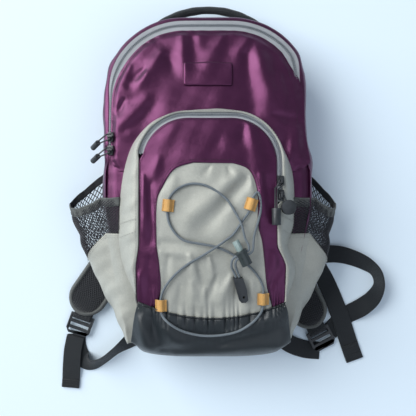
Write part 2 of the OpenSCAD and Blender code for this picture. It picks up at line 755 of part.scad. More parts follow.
// Webbing on the floor, from the pack's corner to the buckle: x, y, least level and roll
web_left_rise = [[-100, -180, 8, 0], [-112, -188, 8, 35], [-129, -200, 9, 60], [-148, -214, 9, 60],
    [-164, -219, 5, 40], [-178, -212, 1, 0], [-185, -197, 1, 0], [-186, -178, 1, 0]];
web_left_tail = [[-187, -181, 3, 0], [-189, -190, 3.6, 0], [-191, -202, 4.6, 0], [-192, -216, 5, 0],
    [-193, -230, 4, 0], [-194, -243, 1.6, 0], [-195, -254, 1, 0]];
web_right_rise = [[102, -180, 8, 0], [116, -192, 4, 0], [137, -200, 1.2, 0], [158, -202, 1, 0]];
web_right_loop = [[172, -176, 1, 0], [184, -163, 1, 0], [198, -151, 1, 0], [216, -140, 6, 22],
    [231, -126, 10, 48], [239, -108, 13, 70], [235, -90, 12, 64], [221, -78, 9, 42], [200, -69, 6, 25],
    [180, -65, 4, 10], [152, -66, 2, 0]];
web_right_tail = [[150, -76, 2, 0], [165, -100, 1, 0], [178, -130, 3.4, 0], [190, -163, 3.6, 0],
    [200, -193, 2.2, 0], [208, -215, 1, 0]];

// Lowest level at which webbing rolled by this angle clears the floor
function webbing_level(roll) = webbing_w / 2 * abs(sin(roll)) + webbing_t / 2 + 0.2;

module webbing(route) sweep(
    [for (q = spline(route, 6)) [q[0], q[1], max(q[2], webbing_level(q[3])), q[3]]],
    flat_section(webbing_w, webbing_t));

module webbing_left() color(black) webbing(web_left_rise);
module webbing_tail_left() color(black) webbing(web_left_tail);
module webbing_right() color(black) webbing(web_right_rise);
module webbing_loop_right() color(black) webbing(web_right_loop);
module webbing_tail_right() color(black) webbing(web_right_tail);

// Folded tab that joins the webbing to the pack's lower corner
anchor_x = 103;
module webbing_anchor(x) color(black) translate([x - 10, -186, 4.6]) cube([20, 16, 8]);
module webbing_anchor_left() webbing_anchor(-anchor_x);
module webbing_anchor_right() webbing_anchor(anchor_x);

back_panel();
back_foam();
back_pad();
yoke_patch();
main_shell();
front_panel();
bottom_panel();
side_wing_left();
side_wing_right();
pocket_gusset();
pocket_front();
pocket_insert();
pocket_base_band();
main_zip_outer();
main_zip_legs();
pocket_zip_outer();
pocket_zip_inner();
mesh_pocket_left();
mesh_pocket_right();
mesh_binding_left();
mesh_binding_right();
lace_loop_top_left();
lace_loop_top_right();
lace_loop_bottom_left();
lace_loop_bottom_right();
webbing_anchor_left();
webbing_anchor_right();
front_flap();
main_zip_flap();
label_patch();
main_slider_upper();
main_slider_lower();
main_pull_upper();
main_pull_lower();
pocket_slider_upper();
pocket_slider_lower();
barrel_pull();
disc_pull();
haul_handle();
bungee_cord();
cord_end_clip();
cord_lock_barrel();
cord_lock_button();
cord_lock_spring();
shoulder_strap_left();
shoulder_strap_right();
strap_binding_left();
strap_binding_right();
strap_tab_left();
strap_tab_right();
webbing_left();
webbing_tail_left();
webbing_right();
webbing_loop_right();
webbing_tail_right();
ladder_lock_left();
ladder_lock_right();
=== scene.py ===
"""Looks of the daypack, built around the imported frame. Sizes are in millimetres, meshes in metres."""
import math

import bmesh
import bpy
import numpy as np
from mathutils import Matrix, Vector


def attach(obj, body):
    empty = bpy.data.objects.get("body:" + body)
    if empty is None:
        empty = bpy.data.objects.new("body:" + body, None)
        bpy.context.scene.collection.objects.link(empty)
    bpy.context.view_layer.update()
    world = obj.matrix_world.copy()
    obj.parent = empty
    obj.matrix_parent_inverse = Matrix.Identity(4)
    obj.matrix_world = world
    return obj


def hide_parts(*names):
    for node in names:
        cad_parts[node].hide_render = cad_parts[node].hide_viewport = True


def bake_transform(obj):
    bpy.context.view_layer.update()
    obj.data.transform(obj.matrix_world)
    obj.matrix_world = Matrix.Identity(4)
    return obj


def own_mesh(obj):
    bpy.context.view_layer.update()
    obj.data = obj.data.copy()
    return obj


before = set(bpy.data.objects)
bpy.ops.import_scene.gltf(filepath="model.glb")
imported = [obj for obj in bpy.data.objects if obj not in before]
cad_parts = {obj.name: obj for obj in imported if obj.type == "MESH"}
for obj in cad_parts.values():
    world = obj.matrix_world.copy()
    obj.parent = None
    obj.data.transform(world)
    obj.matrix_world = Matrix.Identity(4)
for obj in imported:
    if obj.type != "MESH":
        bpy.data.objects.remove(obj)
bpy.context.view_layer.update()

MM = 0.001

# ---- Driving sizes, the same as the design's -------------------------------------------------
BODY_HALF_W, BODY_TOP, BODY_BOTTOM, FOOT_HALF_W = 137, 250, 193, 104
FLANK_Y = 5
TOP_CORNER_R, SIDE_CORNER_R, FOOT_CORNER_R, FLANK_TURN = 105, 30, 32, -11
BACK_Z, GIRTH_Z, BACK_INSET = 14, 46, 14
FRONT_TOP, FRONT_R, FRONT_CY = 94, 1000, 30
POCKET_X, POCKET_CY, POCKET_TOP, POCKET_R = 2, -8, 120, 520
POCKET_HALF_W, POCKET_TOP_Y, POCKET_CORNER_R, POCKET_FOOT_Y = 90, 119, 62, -141
SAG_R = 221
ZIP_OUTER_G, ZIP_INNER_G = -7.5, -20.5
MAIN_ZIP_END_Y, STITCH_END_Y = 66, 70
CORD_D, CORD_GAP = 3.0, 0.3
WEBBING_W, WEBBING_T = 25, 1.6


# ---- Outlines and crowned surfaces -----------------------------------------------------------
def arc(cx, cy, r, a0, a1, n):
    """Points round a circle from angle a0 to angle a1 in degrees, in n steps."""
    a = np.radians(np.linspace(a0, a1, n + 1))
    return np.stack([cx + r * np.cos(a), cy + r * np.sin(a)], 1)


def body_arcs(g, top_steps, flank_steps, foot_steps):
    """Right half of the body outline: the top corner, the turn of the flank and the foot corner."""
    return (arc(BODY_HALF_W - TOP_CORNER_R, BODY_TOP - TOP_CORNER_R, TOP_CORNER_R + g, 90, 0, top_steps),
            arc(BODY_HALF_W - SIDE_CORNER_R, FLANK_Y, SIDE_CORNER_R + g, 0, FLANK_TURN, flank_steps),
            arc(FOOT_HALF_W - FOOT_CORNER_R, FOOT_CORNER_R - BODY_BOTTOM, FOOT_CORNER_R + g,
                FLANK_TURN, -90, foot_steps))


def body_half(g):
    return np.concatenate(body_arcs(g, 24, 2, 8))


def face_half(g):
    """Right half of the pocket's face: the arch and the turn at its lower corner."""
    foot_r = 16
    cx, sag_cy = POCKET_HALF_W - foot_r, POCKET_FOOT_Y + SAG_R
    cy = sag_cy - math.sqrt((SAG_R - foot_r) ** 2 - cx ** 2)
    turn = math.degrees(math.atan2(cy - sag_cy, cx))
    top_cx, top_cy = POCKET_HALF_W - POCKET_CORNER_R, POCKET_TOP_Y - POCKET_CORNER_R
    return np.concatenate([arc(top_cx, top_cy, POCKET_CORNER_R + g, 90, 0, 20),
                           arc(cx, cy, foot_r + g, 0, turn, 5)])


def front_z(x, y, d=0.0):
    """Height of the crowned front panel, lifted by d."""
    return FRONT_TOP + d - (x * x + (y - FRONT_CY) ** 2) / (2 * FRONT_R)


def pocket_z(x, y, d=0.0):
    """Height of the pocket's crowned face, lifted by d."""
    return POCKET_TOP + d - ((x - POCKET_X) ** 2 + (y - POCKET_CY) ** 2) / (2 * POCKET_R)


def resample(points, n, closed=False):
    """n points at even spacing along a polyline."""
    pts = np.asarray(points, float)
    if closed:
        pts = np.concatenate([pts, pts[:1]])
    step = np.concatenate([[0], np.cumsum(np.linalg.norm(np.diff(pts, axis=0), axis=1))])
    at = np.linspace(0, step[-1], n + 1)[:-1] if closed else np.linspace(0, step[-1], n)
    return np.stack([np.interp(at, step, pts[:, k]) for k in range(pts.shape[1])], 1)


def spline(points, n):
    """A smooth curve through the points, n steps for each stretch."""
    p = np.asarray(points, float)
    m = len(p) - 1
    out = []
    for i in range(m):
        a, b, c, d = p[max(i - 1, 0)], p[i], p[i + 1], p[min(i + 2, m)]
        for t in np.arange(n) / n:
            out.append(0.5 * (2 * b + (c - a) * t + (2 * a - 5 * b + 4 * c - d) * t ** 2
                              + (3 * b - a - 3 * c + d) * t ** 3))
    out.append(p[m])
    return np.array(out)


def smooth(t):
    """Eases from 0 to 1 as t runs from 0 to 1."""
    t = np.clip(t, 0, 1)
    return t * t * (3 - 2 * t)


def folds(x, y, table):
    """Height of soft folds, wider towards their lower ends: rows of x0, y0, x1, y1, width, height."""
    z = np.zeros_like(x, dtype=float)
    for x0, y0, x1, y1, width, height in table:
        dx, dy = x1 - x0, y1 - y0
        t = np.clip(((x - x0) * dx + (y - y0) * dy) / (dx * dx + dy * dy), 0, 1)
        d2 = (x - x0 - t * dx) ** 2 + (y - y0 - t * dy) ** 2
        z += height * np.exp(-d2 / (width * (0.65 + 0.7 * t)) ** 2) * (0.7 + 0.3 * np.sin(math.pi * t))
    return z


def ripple(x, y, waves):
    """Low random waves: rows of wavelength, direction in degrees, phase, height."""
    z = np.zeros_like(x, dtype=float)
    for length, turn, phase, height in waves:
        a = math.radians(turn)
        z += height * np.sin(2 * math.pi * (x * math.cos(a) + y * math.sin(a)) / length + phase)
    return z


# ---- Materials -------------------------------------------------------------------------------
def new_material(name):
    m = bpy.data.materials.new(name)
    m.use_nodes = True
    nt = m.node_tree
    shader = nt.nodes["Principled BSDF"]
    return m, nt, shader


def node(nt, kind, **values):
    """A shader node with its inputs or settings given by name."""
    n = nt.nodes.new(kind)
    for key, value in values.items():
        if key in n.inputs:
            n.inputs[key].default_value = value
        else:
            setattr(n, key, value)
    return n


def ramp(nt, source, stops):
    """A colour ramp over a source: stops of place and colour."""
    r = nt.nodes.new("ShaderNodeValToRGB")
    for e, (at, col) in zip(r.color_ramp.elements, (stops[0], stops[-1])):
        e.position, e.color = at, (*col, 1)
    for at, col in stops[1:-1]:
        e = r.color_ramp.elements.new(at)
        e.color = (*col, 1)
    nt.links.new(source, r.inputs[0])
    return r.outputs[0]


def grey_ramp(nt, source, *stops):
    """A ramp with plain greys: stops of place and value."""
    return ramp(nt, source, [(at, (value,) * 3) for at, value in stops])


def feed(nt, value, target):
    """Give a node's input a plain value or another node's output."""
    if isinstance(value, bpy.types.NodeSocket):
        nt.links.new(value, target)
    else:
        target.default_value = value


def product(nt, a, b):
    """Two outputs or plain values multiplied."""
    n = node(nt, "ShaderNodeMath", operation="MULTIPLY")
    feed(nt, a, n.inputs[0])
    feed(nt, b, n.inputs[1])
    return n.outputs[0]


def mix_colour(nt, kind, amount, a, b):
    n = node(nt, "ShaderNodeMix", data_type="RGBA", blend_type=kind)
    for socket, value in (("Factor", amount), ("A", a), ("B", b)):
        feed(nt, value, next(i for i in n.inputs if i.name == socket and i.enabled))
    return next(o for o in n.outputs if o.enabled)


def noise(nt, coords, **values):
    """Noise that follows the object's own coordinates."""
    n = node(nt, "ShaderNodeTexNoise", **values)
    nt.links.new(coords.outputs["Object"], n.inputs["Vector"])
    return n.outputs["Fac"]


def bump(nt, height, strength, distance, under=None):
    """Bump from a height socket, laid over the normal of another bump."""
    n = node(nt, "ShaderNodeBump", Strength=strength, Distance=distance)
    nt.links.new(height, n.inputs["Height"])
    if under:
        nt.links.new(under, n.inputs["Normal"])
    return n.outputs[0]


MOTTLE = 0.12


def woven(name, colour, thread_mm, rough=0.6, sheen=0.2, tint=(1, 1, 1), relief=0.15,
          diagonal=False, specular=0.4, gloss=(1, 1, 1)):
    """Woven cloth: two crossing thread waves, blotchy colour, worn light patches and a fine bump."""
    m, nt, shader = new_material(name)
    uv = node(nt, "ShaderNodeUVMap", uv_map="UVMap")
    waves = []
    for axis in ("X", "Y"):
        mapping = node(nt, "ShaderNodeMapping", Rotation=(0, 0, math.radians(45 if diagonal else 0)))
        nt.links.new(uv.outputs[0], mapping.inputs["Vector"])
        wave = node(nt, "ShaderNodeTexWave", Scale=0.314 / (thread_mm * MM), Distortion=0.4, Detail=1.0)
        wave.bands_direction = axis
        nt.links.new(mapping.outputs[0], wave.inputs["Vector"])
        waves.append(wave.outputs["Fac"])
    cross = product(nt, *waves)
    coords = nt.nodes.new("ShaderNodeTexCoord")
    blotch = noise(nt, coords, Scale=22.0, Detail=5.0, Roughness=0.6)
    speck = noise(nt, coords, Scale=900.0, Detail=2.0)
    soft = noise(nt, coords, Scale=160.0, Detail=3.0)
    c = np.array(colour)
    tone = ramp(nt, blotch, [(0.3, tuple(c * (1 - MOTTLE))), (0.55, tuple(c)),
                             (0.8, tuple(np.clip(c * (1 + MOTTLE), 0, 1)))])
    tone = mix_colour(nt, "MULTIPLY", 1.0, tone, grey_ramp(nt, speck, (0.3, 0.82), (0.7, 1.0)))
    tone = mix_colour(nt, "MULTIPLY", 1.0, tone, grey_ramp(nt, cross, (0.0, 0.80), (0.6, 1.0)))
    threads = bump(nt, cross, relief, thread_mm * MM * 0.5)
    looks = {"Base Color": tone,
             "Roughness": grey_ramp(nt, blotch, (0.3, rough - 0.05), (0.7, rough + 0.07)),
             "Normal": bump(nt, soft, 0.25, 0.0012, threads),
             "Sheen Weight": sheen, "Sheen Roughness": 0.35, "Sheen Tint": (*tint, 1),
             "Specular IOR Level": specular, "Specular Tint": (*gloss, 1)}
    for socket, value in looks.items():
        feed(nt, value, shader.inputs[socket])
    return m


def moulded(name, colour, rough=0.45, grain=260.0, relief=0.12, edge_glint=0.25, tone=0.2):
    """Moulded plastic or enamelled metal: fine grain, and a painted highlight that pales the sharp edges
    where gloss would catch the light.
    """
    m, nt, shader = new_material(name)
    grains = noise(nt, nt.nodes.new("ShaderNodeTexCoord"), Scale=grain, Detail=4.0)
    geometry = nt.nodes.new("ShaderNodeNewGeometry")
    edge = grey_ramp(nt, geometry.outputs["Pointiness"], (0.52, 0), (0.62, 1))
    c = np.array(colour)
    base = ramp(nt, grains, [(0.35, tuple(c * (1 - tone))), (0.7, tuple(np.clip(c * (1 + tone), 0, 1)))])
    # Painted highlight: sharp edges are mixed towards this paler colour, standing in for light caught along
    # them.
    glint_colour = tuple(np.clip(c * 2.2 + 0.03, 0, 1)) + (1,)
    looks = {"Base Color": mix_colour(nt, "MIX", product(nt, edge, edge_glint), base, glint_colour),
             "Roughness": grey_ramp(nt, grains, (0.3, rough - 0.08), (0.7, rough + 0.1)),
             "Normal": bump(nt, grains, relief, 0.0002)}
    for socket, value in looks.items():
        feed(nt, value, shader.inputs[socket])
    return m


PLUM = woven("plum_twill", (0.030, 0.007, 0.023), 0.5, rough=0.33, sheen=0.05, tint=(0.9, 0.4, 0.7),
             relief=0.22, diagonal=True, specular=1.0, gloss=(1.0, 0.33, 0.74))
STONE = woven("stone_twill", (0.46, 0.465, 0.415), 0.6, rough=0.40, sheen=0.12, relief=0.25,
              diagonal=True, specular=0.6, gloss=(1.0, 0.97, 0.86))
CHARCOAL = woven("charcoal_coated_cloth", (0.016, 0.022, 0.026), 0.7, rough=0.36, sheen=0.05, relief=0.3,
                 specular=0.5)
WEBBING = woven("black_webbing_weave", (0.012, 0.016, 0.020), 1.4, rough=0.55, sheen=0.15, relief=0.8)
SPACER = woven("black_spacer_mesh", (0.020, 0.022, 0.026), 2.6, rough=0.8, sheen=0.3, relief=1.0,
               diagonal=True)
NET = woven("pocket_net_yarn", (0.030, 0.031, 0.038), 0.6, rough=0.7, sheen=0.3, relief=0.4)
BINDING = woven("grey_binding_weave", (0.125, 0.132, 0.125), 0.9, rough=0.6, sheen=0.2, relief=0.6)
TAPE = woven("zip_tape_weave", (0.42, 0.44, 0.46), 0.7, rough=0.6, sheen=0.2, relief=0.5)
BRAID = woven("elastic_braid_sheath", (0.20, 0.235, 0.26), 0.9, rough=0.55, sheen=0.2, relief=0.9,
              diagonal=True)
RIBBON = woven("apricot_ribbon_weave", (0.78, 0.43, 0.13), 0.7, rough=0.6, sheen=0.3, relief=0.6)
THREAD_DARK = woven("dark_thread", (0.05, 0.015, 0.04), 0.3, rough=0.5)
THREAD_PALE = woven("pale_thread", (0.40, 0.40, 0.36), 0.3, rough=0.5)
THREAD_BLACK = woven("black_thread", (0.02, 0.022, 0.025), 0.3, rough=0.5)
LINING = woven("charcoal_lining", (0.045, 0.045, 0.05), 0.5, rough=0.6, sheen=0.1)
# The edge amount given to these materials sets how strongly their sharp edges get the painted highlight.
PLASTIC = moulded("black_acetal", (0.018, 0.021, 0.024))
LOCK_GREEN = moulded("grey_green_nylon", (0.20, 0.26, 0.25), rough=0.5)
LOCK_DARK = moulded("dark_green_nylon", (0.032, 0.042, 0.042), rough=0.35)
PAPER = moulded("pale_paper", (0.74, 0.85, 0.93), rough=0.9, grain=900.0, relief=0.02, edge_glint=0.0, tone=0.01)
COIL = moulded("zip_coil_nylon", (0.20, 0.22, 0.24), rough=0.4)
ENAMEL = moulded("black_enamel", (0.02, 0.022, 0.024), rough=0.3, edge_glint=0.6)
STEEL = moulded("drawn_steel", (0.45, 0.45, 0.46), rough=0.3)


# ---- Mesh helpers ----------------------------------------------------------------------------
def new_object(name, data):
    """An object linked to the scene."""
    obj = bpy.data.objects.new(name, data)
    bpy.context.scene.collection.objects.link(obj)
    return obj


def add_mesh(name, verts, faces, material, uvs=None):
    """A smoothly shaded mesh from points in millimetres."""
    me = bpy.data.meshes.new(name)
    me.from_pydata((np.asarray(verts, float) * MM).tolist(), [], [tuple(int(i) for i in f) for f in faces])
    if uvs is None:
        uvs = np.asarray(verts, float)[:, :2]
    layer = me.uv_layers.new(name="UVMap")
    corner = np.zeros(len(me.loops), dtype=np.int64)
    me.loops.foreach_get("vertex_index", corner)
    layer.data.foreach_set("uv", (np.asarray(uvs, float)[corner] * MM).ravel())
    me.polygons.foreach_set("use_smooth", [True] * len(me.polygons))
    me.materials.append(material)
    me.validate()
    me.update()
    return new_object(name, me)


def grid_faces(nu, nv, closed_v=False, flip=False):
    """Faces between neighbouring points of nu rows of nv points."""
    faces = []
    for i in range(nu - 1):
        for j in range(nv if closed_v else nv - 1):
            k = (j + 1) % nv
            a, b, c, d = i * nv + j, (i + 1) * nv + j, (i + 1) * nv + k, i * nv + k
            faces.append((a, d, c, b) if flip else (a, b, c, d))
    return faces


def tube_faces(rings, sides, base=0, flip=False):
    """Faces of a closed tube whose points start at base: its wall and a cap at each end."""
    low = tuple(range(sides))
    high = tuple((rings - 1) * sides + j for j in low)
    caps = [low[::-1], high] if flip else [low, high[::-1]]
    return [tuple(base + i for i in f) for f in grid_faces(rings, sides, True, flip) + caps]


def steps_along(p, axis):
    """Distance run along one axis of a grid of points."""
    return np.cumsum(np.linalg.norm(np.diff(p, axis=axis), axis=2), axis)


def grid_uv(p):
    """Arc lengths along a grid of points, in millimetres."""
    du = np.concatenate([np.zeros((1, p.shape[1])), steps_along(p, 0)])
    dv = np.concatenate([np.zeros((p.shape[0], 1)), steps_along(p, 1)], 1)
    return np.stack([du.mean(1)[:, None] + 0 * du, dv.mean(0)[None, :] + 0 * dv], 2).reshape(-1, 2)


def grid_mesh(name, p, material, flip=False, thickness=0.0, planar_uv=False, offset=-1.0):
    verts = p.reshape(-1, 3)
    uv = verts[:, :2] if planar_uv else grid_uv(p)
    obj = add_mesh(name, verts, grid_faces(*p.shape[:2], flip=flip), material, uv)
    mod = obj.modifiers.new("thickness", "SOLIDIFY")
    mod.thickness, mod.offset = thickness * MM, offset
    return obj


def piece(obj, body, slot, *replaced):
    """Puts an object on a body in place of the CAD nodes it replaces."""
    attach(obj, body)
    for n in replaced:
        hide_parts(n)
    return obj


def cloth(name, p, material, body, slot, *replaced, **sheet):
    """A sheet over a grid of points that rides a body."""
    return piece(grid_mesh(name, p, material, **sheet), body, slot, *replaced)


def flap_blend(obj, slot, *replaced):
    """Cloth of the flap, whose fold lies between the heights 121 and 135 mm; here its transform is only
    baked into its points and the CAD nodes it replaces are hidden.
    """
    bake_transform(obj)
    if replaced:
        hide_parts(*replaced)


def frames(path):
    """Side and up vectors along a path."""
    t = np.gradient(path[:, :3], axis=0)
    t /= np.linalg.norm(t, axis=1)[:, None]
    s = np.cross(t, [0, 0, 1.0])
    s /= np.maximum(np.linalg.norm(s, axis=1), 1e-9)[:, None]
    return s, np.cross(s, t)


def sweep_mesh(name, path, section, material, roll=None, scale=None):
    """A closed section swept along a path."""
    path, section = np.asarray(path, float), np.asarray(section, float)
    s, u = frames(path)
    r = (np.zeros(len(path)) if roll is None else np.radians(roll))[:, None]
    k = (np.ones(len(path)) if scale is None else np.asarray(scale, float))[:, None]
    q0 = k * (section[None, :, 0] * np.cos(r) - section[None, :, 1] * np.sin(r))
    q1 = k * (section[None, :, 0] * np.sin(r) + section[None, :, 1] * np.cos(r))
    pts = path[:, None, :3] + q0[:, :, None] * s[:, None, :] + q1[:, :, None] * u[:, None, :]
    faces = tube_faces(len(path), len(section))
    along = np.concatenate([[0], np.cumsum(np.linalg.norm(np.diff(path[:, :3], axis=0), axis=1))])
    around = np.concatenate([[0], np.cumsum(np.linalg.norm(np.diff(section, axis=0), axis=1))])
    uv = np.stack(np.meshgrid(along, around, indexing="ij"), 2).reshape(-1, 2)
    return add_mesh(name, pts.reshape(-1, 3), faces, material, uv)


def circle_section(r, n):
    a = np.linspace(0, 2 * math.pi, n, endpoint=False)
    return np.stack([r * np.cos(a), r * np.sin(a)], 1)


def strap_section(w, t):
    """Flat webbing with rounded edges."""
    a = np.radians(np.linspace(-90, 90, 5))
    right = np.stack([w / 2 - t / 2 + t / 2 * np.cos(a), t / 2 * np.sin(a)], 1)
    left = right[::-1] * [-1, 1]
    inner = np.linspace(w / 2 - t, -(w / 2 - t), 7)
    top = np.stack([inner, np.full(7, t / 2)], 1)
    return np.concatenate([right, top, left, top[::-1] * [1, -1]])


STITCH_LIFT, STITCH_SIDES = 0.25, 5
STITCH_RINGS = [(0, 0.35, -0.1), (0.3, 1.0, 0.2), (0.7, 1.0, 0.2), (1, 0.35, -0.1)]


def stitches(name, path, body, slot, material, stitch=2.6, gap=1.1, r=0.28):
    """A row of sewn stitches along a path lying on the cloth."""
    path = np.asarray(path, float)
    length = np.linalg.norm(np.diff(path, axis=0), axis=1).sum()
    n = max(2, int(length / (stitch + gap)))
    p = resample(path, 2 * n)
    verts, faces = [], []
    a = np.linspace(0, 2 * math.pi, STITCH_SIDES, endpoint=False)[:, None]
    for i in range(n):
        p0, p1 = p[2 * i], p[2 * i + 1]
        if 2 * i + 2 < len(p):
            p1 = p0 + (p[2 * i + 2] - p0) * stitch / (stitch + gap)
        d = p1 - p0
        d /= max(np.linalg.norm(d), 1e-9)
        s = np.cross(d, [0, 0, 1.0])
        s /= max(np.linalg.norm(s), 1e-9)
        u = np.cross(s, d)
        faces += tube_faces(len(STITCH_RINGS), STITCH_SIDES, len(verts), flip=True)
        for t, k, z in STITCH_RINGS:
            centre = p0 + (p1 - p0) * t + u * (STITCH_LIFT + z * r)
            verts.extend(centre + k * r * (np.cos(a) * s + np.sin(a) * u))
    return piece(add_mesh(name, verts, faces, material), body, slot)


def bevelled(node_name, body, slot, material, width=0.5, segments=2):
    """A copy of a hard CAD node with its edges rounded."""
    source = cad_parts[node_name]
    bm = bmesh.new()
    bm.from_mesh(source.data)
    bmesh.ops.remove_doubles(bm, verts=bm.verts, dist=1e-6)
    bmesh.ops.dissolve_limit(bm, angle_limit=math.radians(1), verts=bm.verts, edges=bm.edges)
    me = bpy.data.meshes.new(node_name + "_rounded")
    bm.to_mesh(me)
    bm.free()
    me.materials.clear()
    me.materials.append(material)
    me.polygons.foreach_set("use_smooth", [True] * len(me.polygons))
    obj = new_object(node_name + "_rounded", me)
    mod = obj.modifiers.new("edges", "BEVEL")
    mod.width, mod.segments = width * MM, segments
    mod.limit_method, mod.angle_limit = "ANGLE", math.radians(35)
    mod.harden_normals = True
    return piece(obj, body, slot, node_name)


# ---- Camera, light and floor -----------------------------------------------------------------
CAMERA_H = 787
FLOOR_SPAN = 590.7
SENSOR_W = 36
cam = new_object("camera", bpy.data.cameras.new("camera"))
cam.location = (0, 0, CAMERA_H * MM)
cam.data.sensor_width = SENSOR_W
cam.data.lens = SENSOR_W * CAMERA_H / FLOOR_SPAN
bpy.context.scene.camera = cam


def area_light(name, place, size, energy, colour):
    light = new_object(name, bpy.data.lights.new(name, "AREA"))
    light.data.size, light.data.energy, light.data.color = size, energy, colour
    light.location = place
    light.rotation_euler = (Vector((0, 0, 0.05)) - Vector(place)).to_track_quat("-Z", "Y").to_euler()


WORLD_COLOUR, WORLD_STRENGTH = (0.78, 0.87, 1.0, 1), 0.38
area_light("window", (-3.5, 2.0, 2.8), 4.4, 370, (0.97, 0.99, 1.0))
area_light("fill", (1.2, -1.2, 2.2), 2.4, 16, (0.80, 0.87, 1.0))
world = bpy.data.worlds.new("studio")
world.use_nodes = True
background = world.node_tree.nodes["Background"]
background.inputs["Color"].default_value = WORLD_COLOUR
background.inputs["Strength"].default_value = WORLD_STRENGTH
bpy.context.scene.world = world
bpy.context.scene.view_settings.view_transform = "Standard"

FLOOR_HALF = 3000
floor_corners = [(sx * FLOOR_HALF, sy * FLOOR_HALF, 0) for sx, sy in ((-1, -1), (1, -1), (1, 1), (-1, 1))]
floor = add_mesh("floor", floor_corners, [(0, 1, 2, 3)], PAPER)

# ---- Elastic cord ----------------------------------------------------------------------------
BUNGEE_ROUTE = [
    [34, -84, 2], [31, -77, 3], [28, -70, 6], [29, -62, 9], [32.2, -58.4, 9.5], [36.2, -56.4, 9.5],
    [44.2, -52.4, 9.5], [48.2, -50.4, 9.5], [48.5, -45, 7], [44, -35, 3.5], [40, -19, 3.6], [32, -4, 1],
    [23, 10, 0], [9, 21, 0], [-6, 28, 0], [-22, 29, 0], [-37, 23, 0], [-46, 13, 0], [-48, 3, 0],
    [-49, -7, 0], [-46, -20, 0], [-37, -33, 0], [-26, -40, 0], [-10, -43, 0], [10, -47, 0],
    [28, -55, 0], [48, -69, 0], [60, -82, 0], [67, -96, 0], [68, -112, 0], [67, -124, 0.6],
    [62, -133, 3], [52, -142, 2], [36, -152, 1], [14, -157, 1], [-10, -157, 1], [-32, -151, 1],
    [-48, -141, 2], [-56.6, -132, 0.5], [-58, -120, 0], [-57, -108, 0], [-52, -96, 0], [-41, -82, 0],
    [-26, -69, 0], [-6, -57, 1.5], [4, -50.5, 3.6], [14, -44, 3.6], [23, -37.5, 1.5], [31, -31, 0],
    [42, -15, 0], [49, -5, 0], [52, 4, 0], [55, 14, 0], [60, 19, 0], [63.6, 10, 0], [63.4, -4, 0],
    [60, -18, 0], [56, -32, 1], [54.5, -42, 4], [53.5, -50, 8], [50, -54, 9.5], [46, -56, 9.5],
    [38, -60, 9.5], [34, -62, 9.5], [32.8, -68, 7], [35, -76, 3], [38, -84, 2]]
BASE_EDGE_Y, BASE_EDGE_Z, BASE_SLOPE = -146, 105, 6 / 19


def rest_z(x, y):
    """Height of the cloth under the cord: the pocket's face, then the coated base below its seam."""
    if y < -136:
        return max(pocket_z(x, y), BASE_EDGE_Z + min(0, (y - BASE_EDGE_Y) * BASE_SLOPE))
    return pocket_z(x, y)


def path_length(p):
    """Length along a line of points."""
    return float(np.linalg.norm(np.diff(p[:, :3], axis=0), axis=1).sum())


def make_bungee():
    """The elastic cord along its route, with the clip at its ends."""
    route = [[x, y, rest_z(x, y) + CORD_D / 2 + CORD_GAP + lift] for x, y, lift in BUNGEE_ROUTE]
    path = spline(route, 5)
    obj = piece(sweep_mesh("elastic_cord", path, circle_section(CORD_D / 2, 12), BRAID),
                "pack", "elastic_braid", "bungee_cord")
    clip = bevelled("cord_end_clip", "pack", "black_plastic", PLASTIC, 0.8, 3)


make_bungee()


# ---- Main body -------------------------------------------------------------------------------
PANEL_FOLDS = [
    [-33, 222, -32, 173, 9, 3], [18, 218, 2, 188, 9, 2.5], [52, 218, 39, 198, 7, 2.5],
    [64, 204, 82, 124, 16, 5.5], [96, 168, 104, 128, 10, 2.2],
    [-61, 198, -79, 169, 9, 3.5], [-79, 169, -98, 152, 10, 3.5], [-79, 137, -122, 86, 14, 3.5],
    [-101, 180, -112, 156, 7, 2], [-20, 222, -18, 188, 8, -2.5], [50, 196, 58, 130, 11, -3.5],
    [-51, 194, -39, 169, 8, -2.5], [-82, 176, -99, 157, 6, -3], [-107, 137, -114, 122, 4, -2.5],
    [-105, 99, -74, 122, 10, -3], [85, 118, 117, 112, 6, -2], [104, 60, 118, 96, 7, 2.5]]
CLOTH_WAVES = [[61, 25, 0.6, 0.5], [43, 100, 2.1, 0.45], [29, 155, 4.0, 0.25], [17, 70, 1.3, 0.12]]


def cloth_noise(x, y):
    return ripple(x, y, CLOTH_WAVES)


def outline_run(g, y_low):
    """Body outline from its lower left, over the top, to its lower right, ending at y_low."""
    top, side, foot = body_arcs(g, 40, 3, 1)
    a, b = side[-1], foot[0]
    upper = np.linspace(top[-1], side[0], 30)[1:-1]
    t = max((y_low - a[1]) / (b[1] - a[1]), 0)
    lower = a + (b - a) * np.linspace(0, t, 16)[1:, None]
    span = np.linspace(0, 1, 9)[:-1, None] * [top[0][0], 0] + [0, top[0][1]]
    half = np.concatenate([span, top, upper, side, lower])
    return np.concatenate([(half * [-1, 1])[::-1], half[1:]])


SEAM_Z_DROP = 3.4
SLUMP, HEM_REACH = 8.0, 8.0
FLANK_ROLL, FLANK_SINK = 7.2, -6.0


def over_flank(y):
    """1 where the main zip has rolled over the pack's side and faces outwards."""
    return smooth((198 - y) / 70) * smooth((y - 46) / 16)


def inner_g(y):
    return ZIP_INNER_G + FLANK_ROLL * over_flank(y)


def panel_height(x, y, edge):
    """Front panel at a distance from its zip seam: pinched to the tape at the seam, crowned inside."""
    lift = smooth(edge / 9.0)
    around = np.arctan2(y - 60, x) * 60
    pucker = 0.32 * np.sin(around + 1.7 * np.sin(around * 0.31)) * np.exp(-(edge / 7.0) ** 2)
    soft = folds(x, y, PANEL_FOLDS) + cloth_noise(x, y)
    return front_z(x, y, -SEAM_Z_DROP) + lift * (SEAM_Z_DROP - 0.6) + lift * soft + pucker


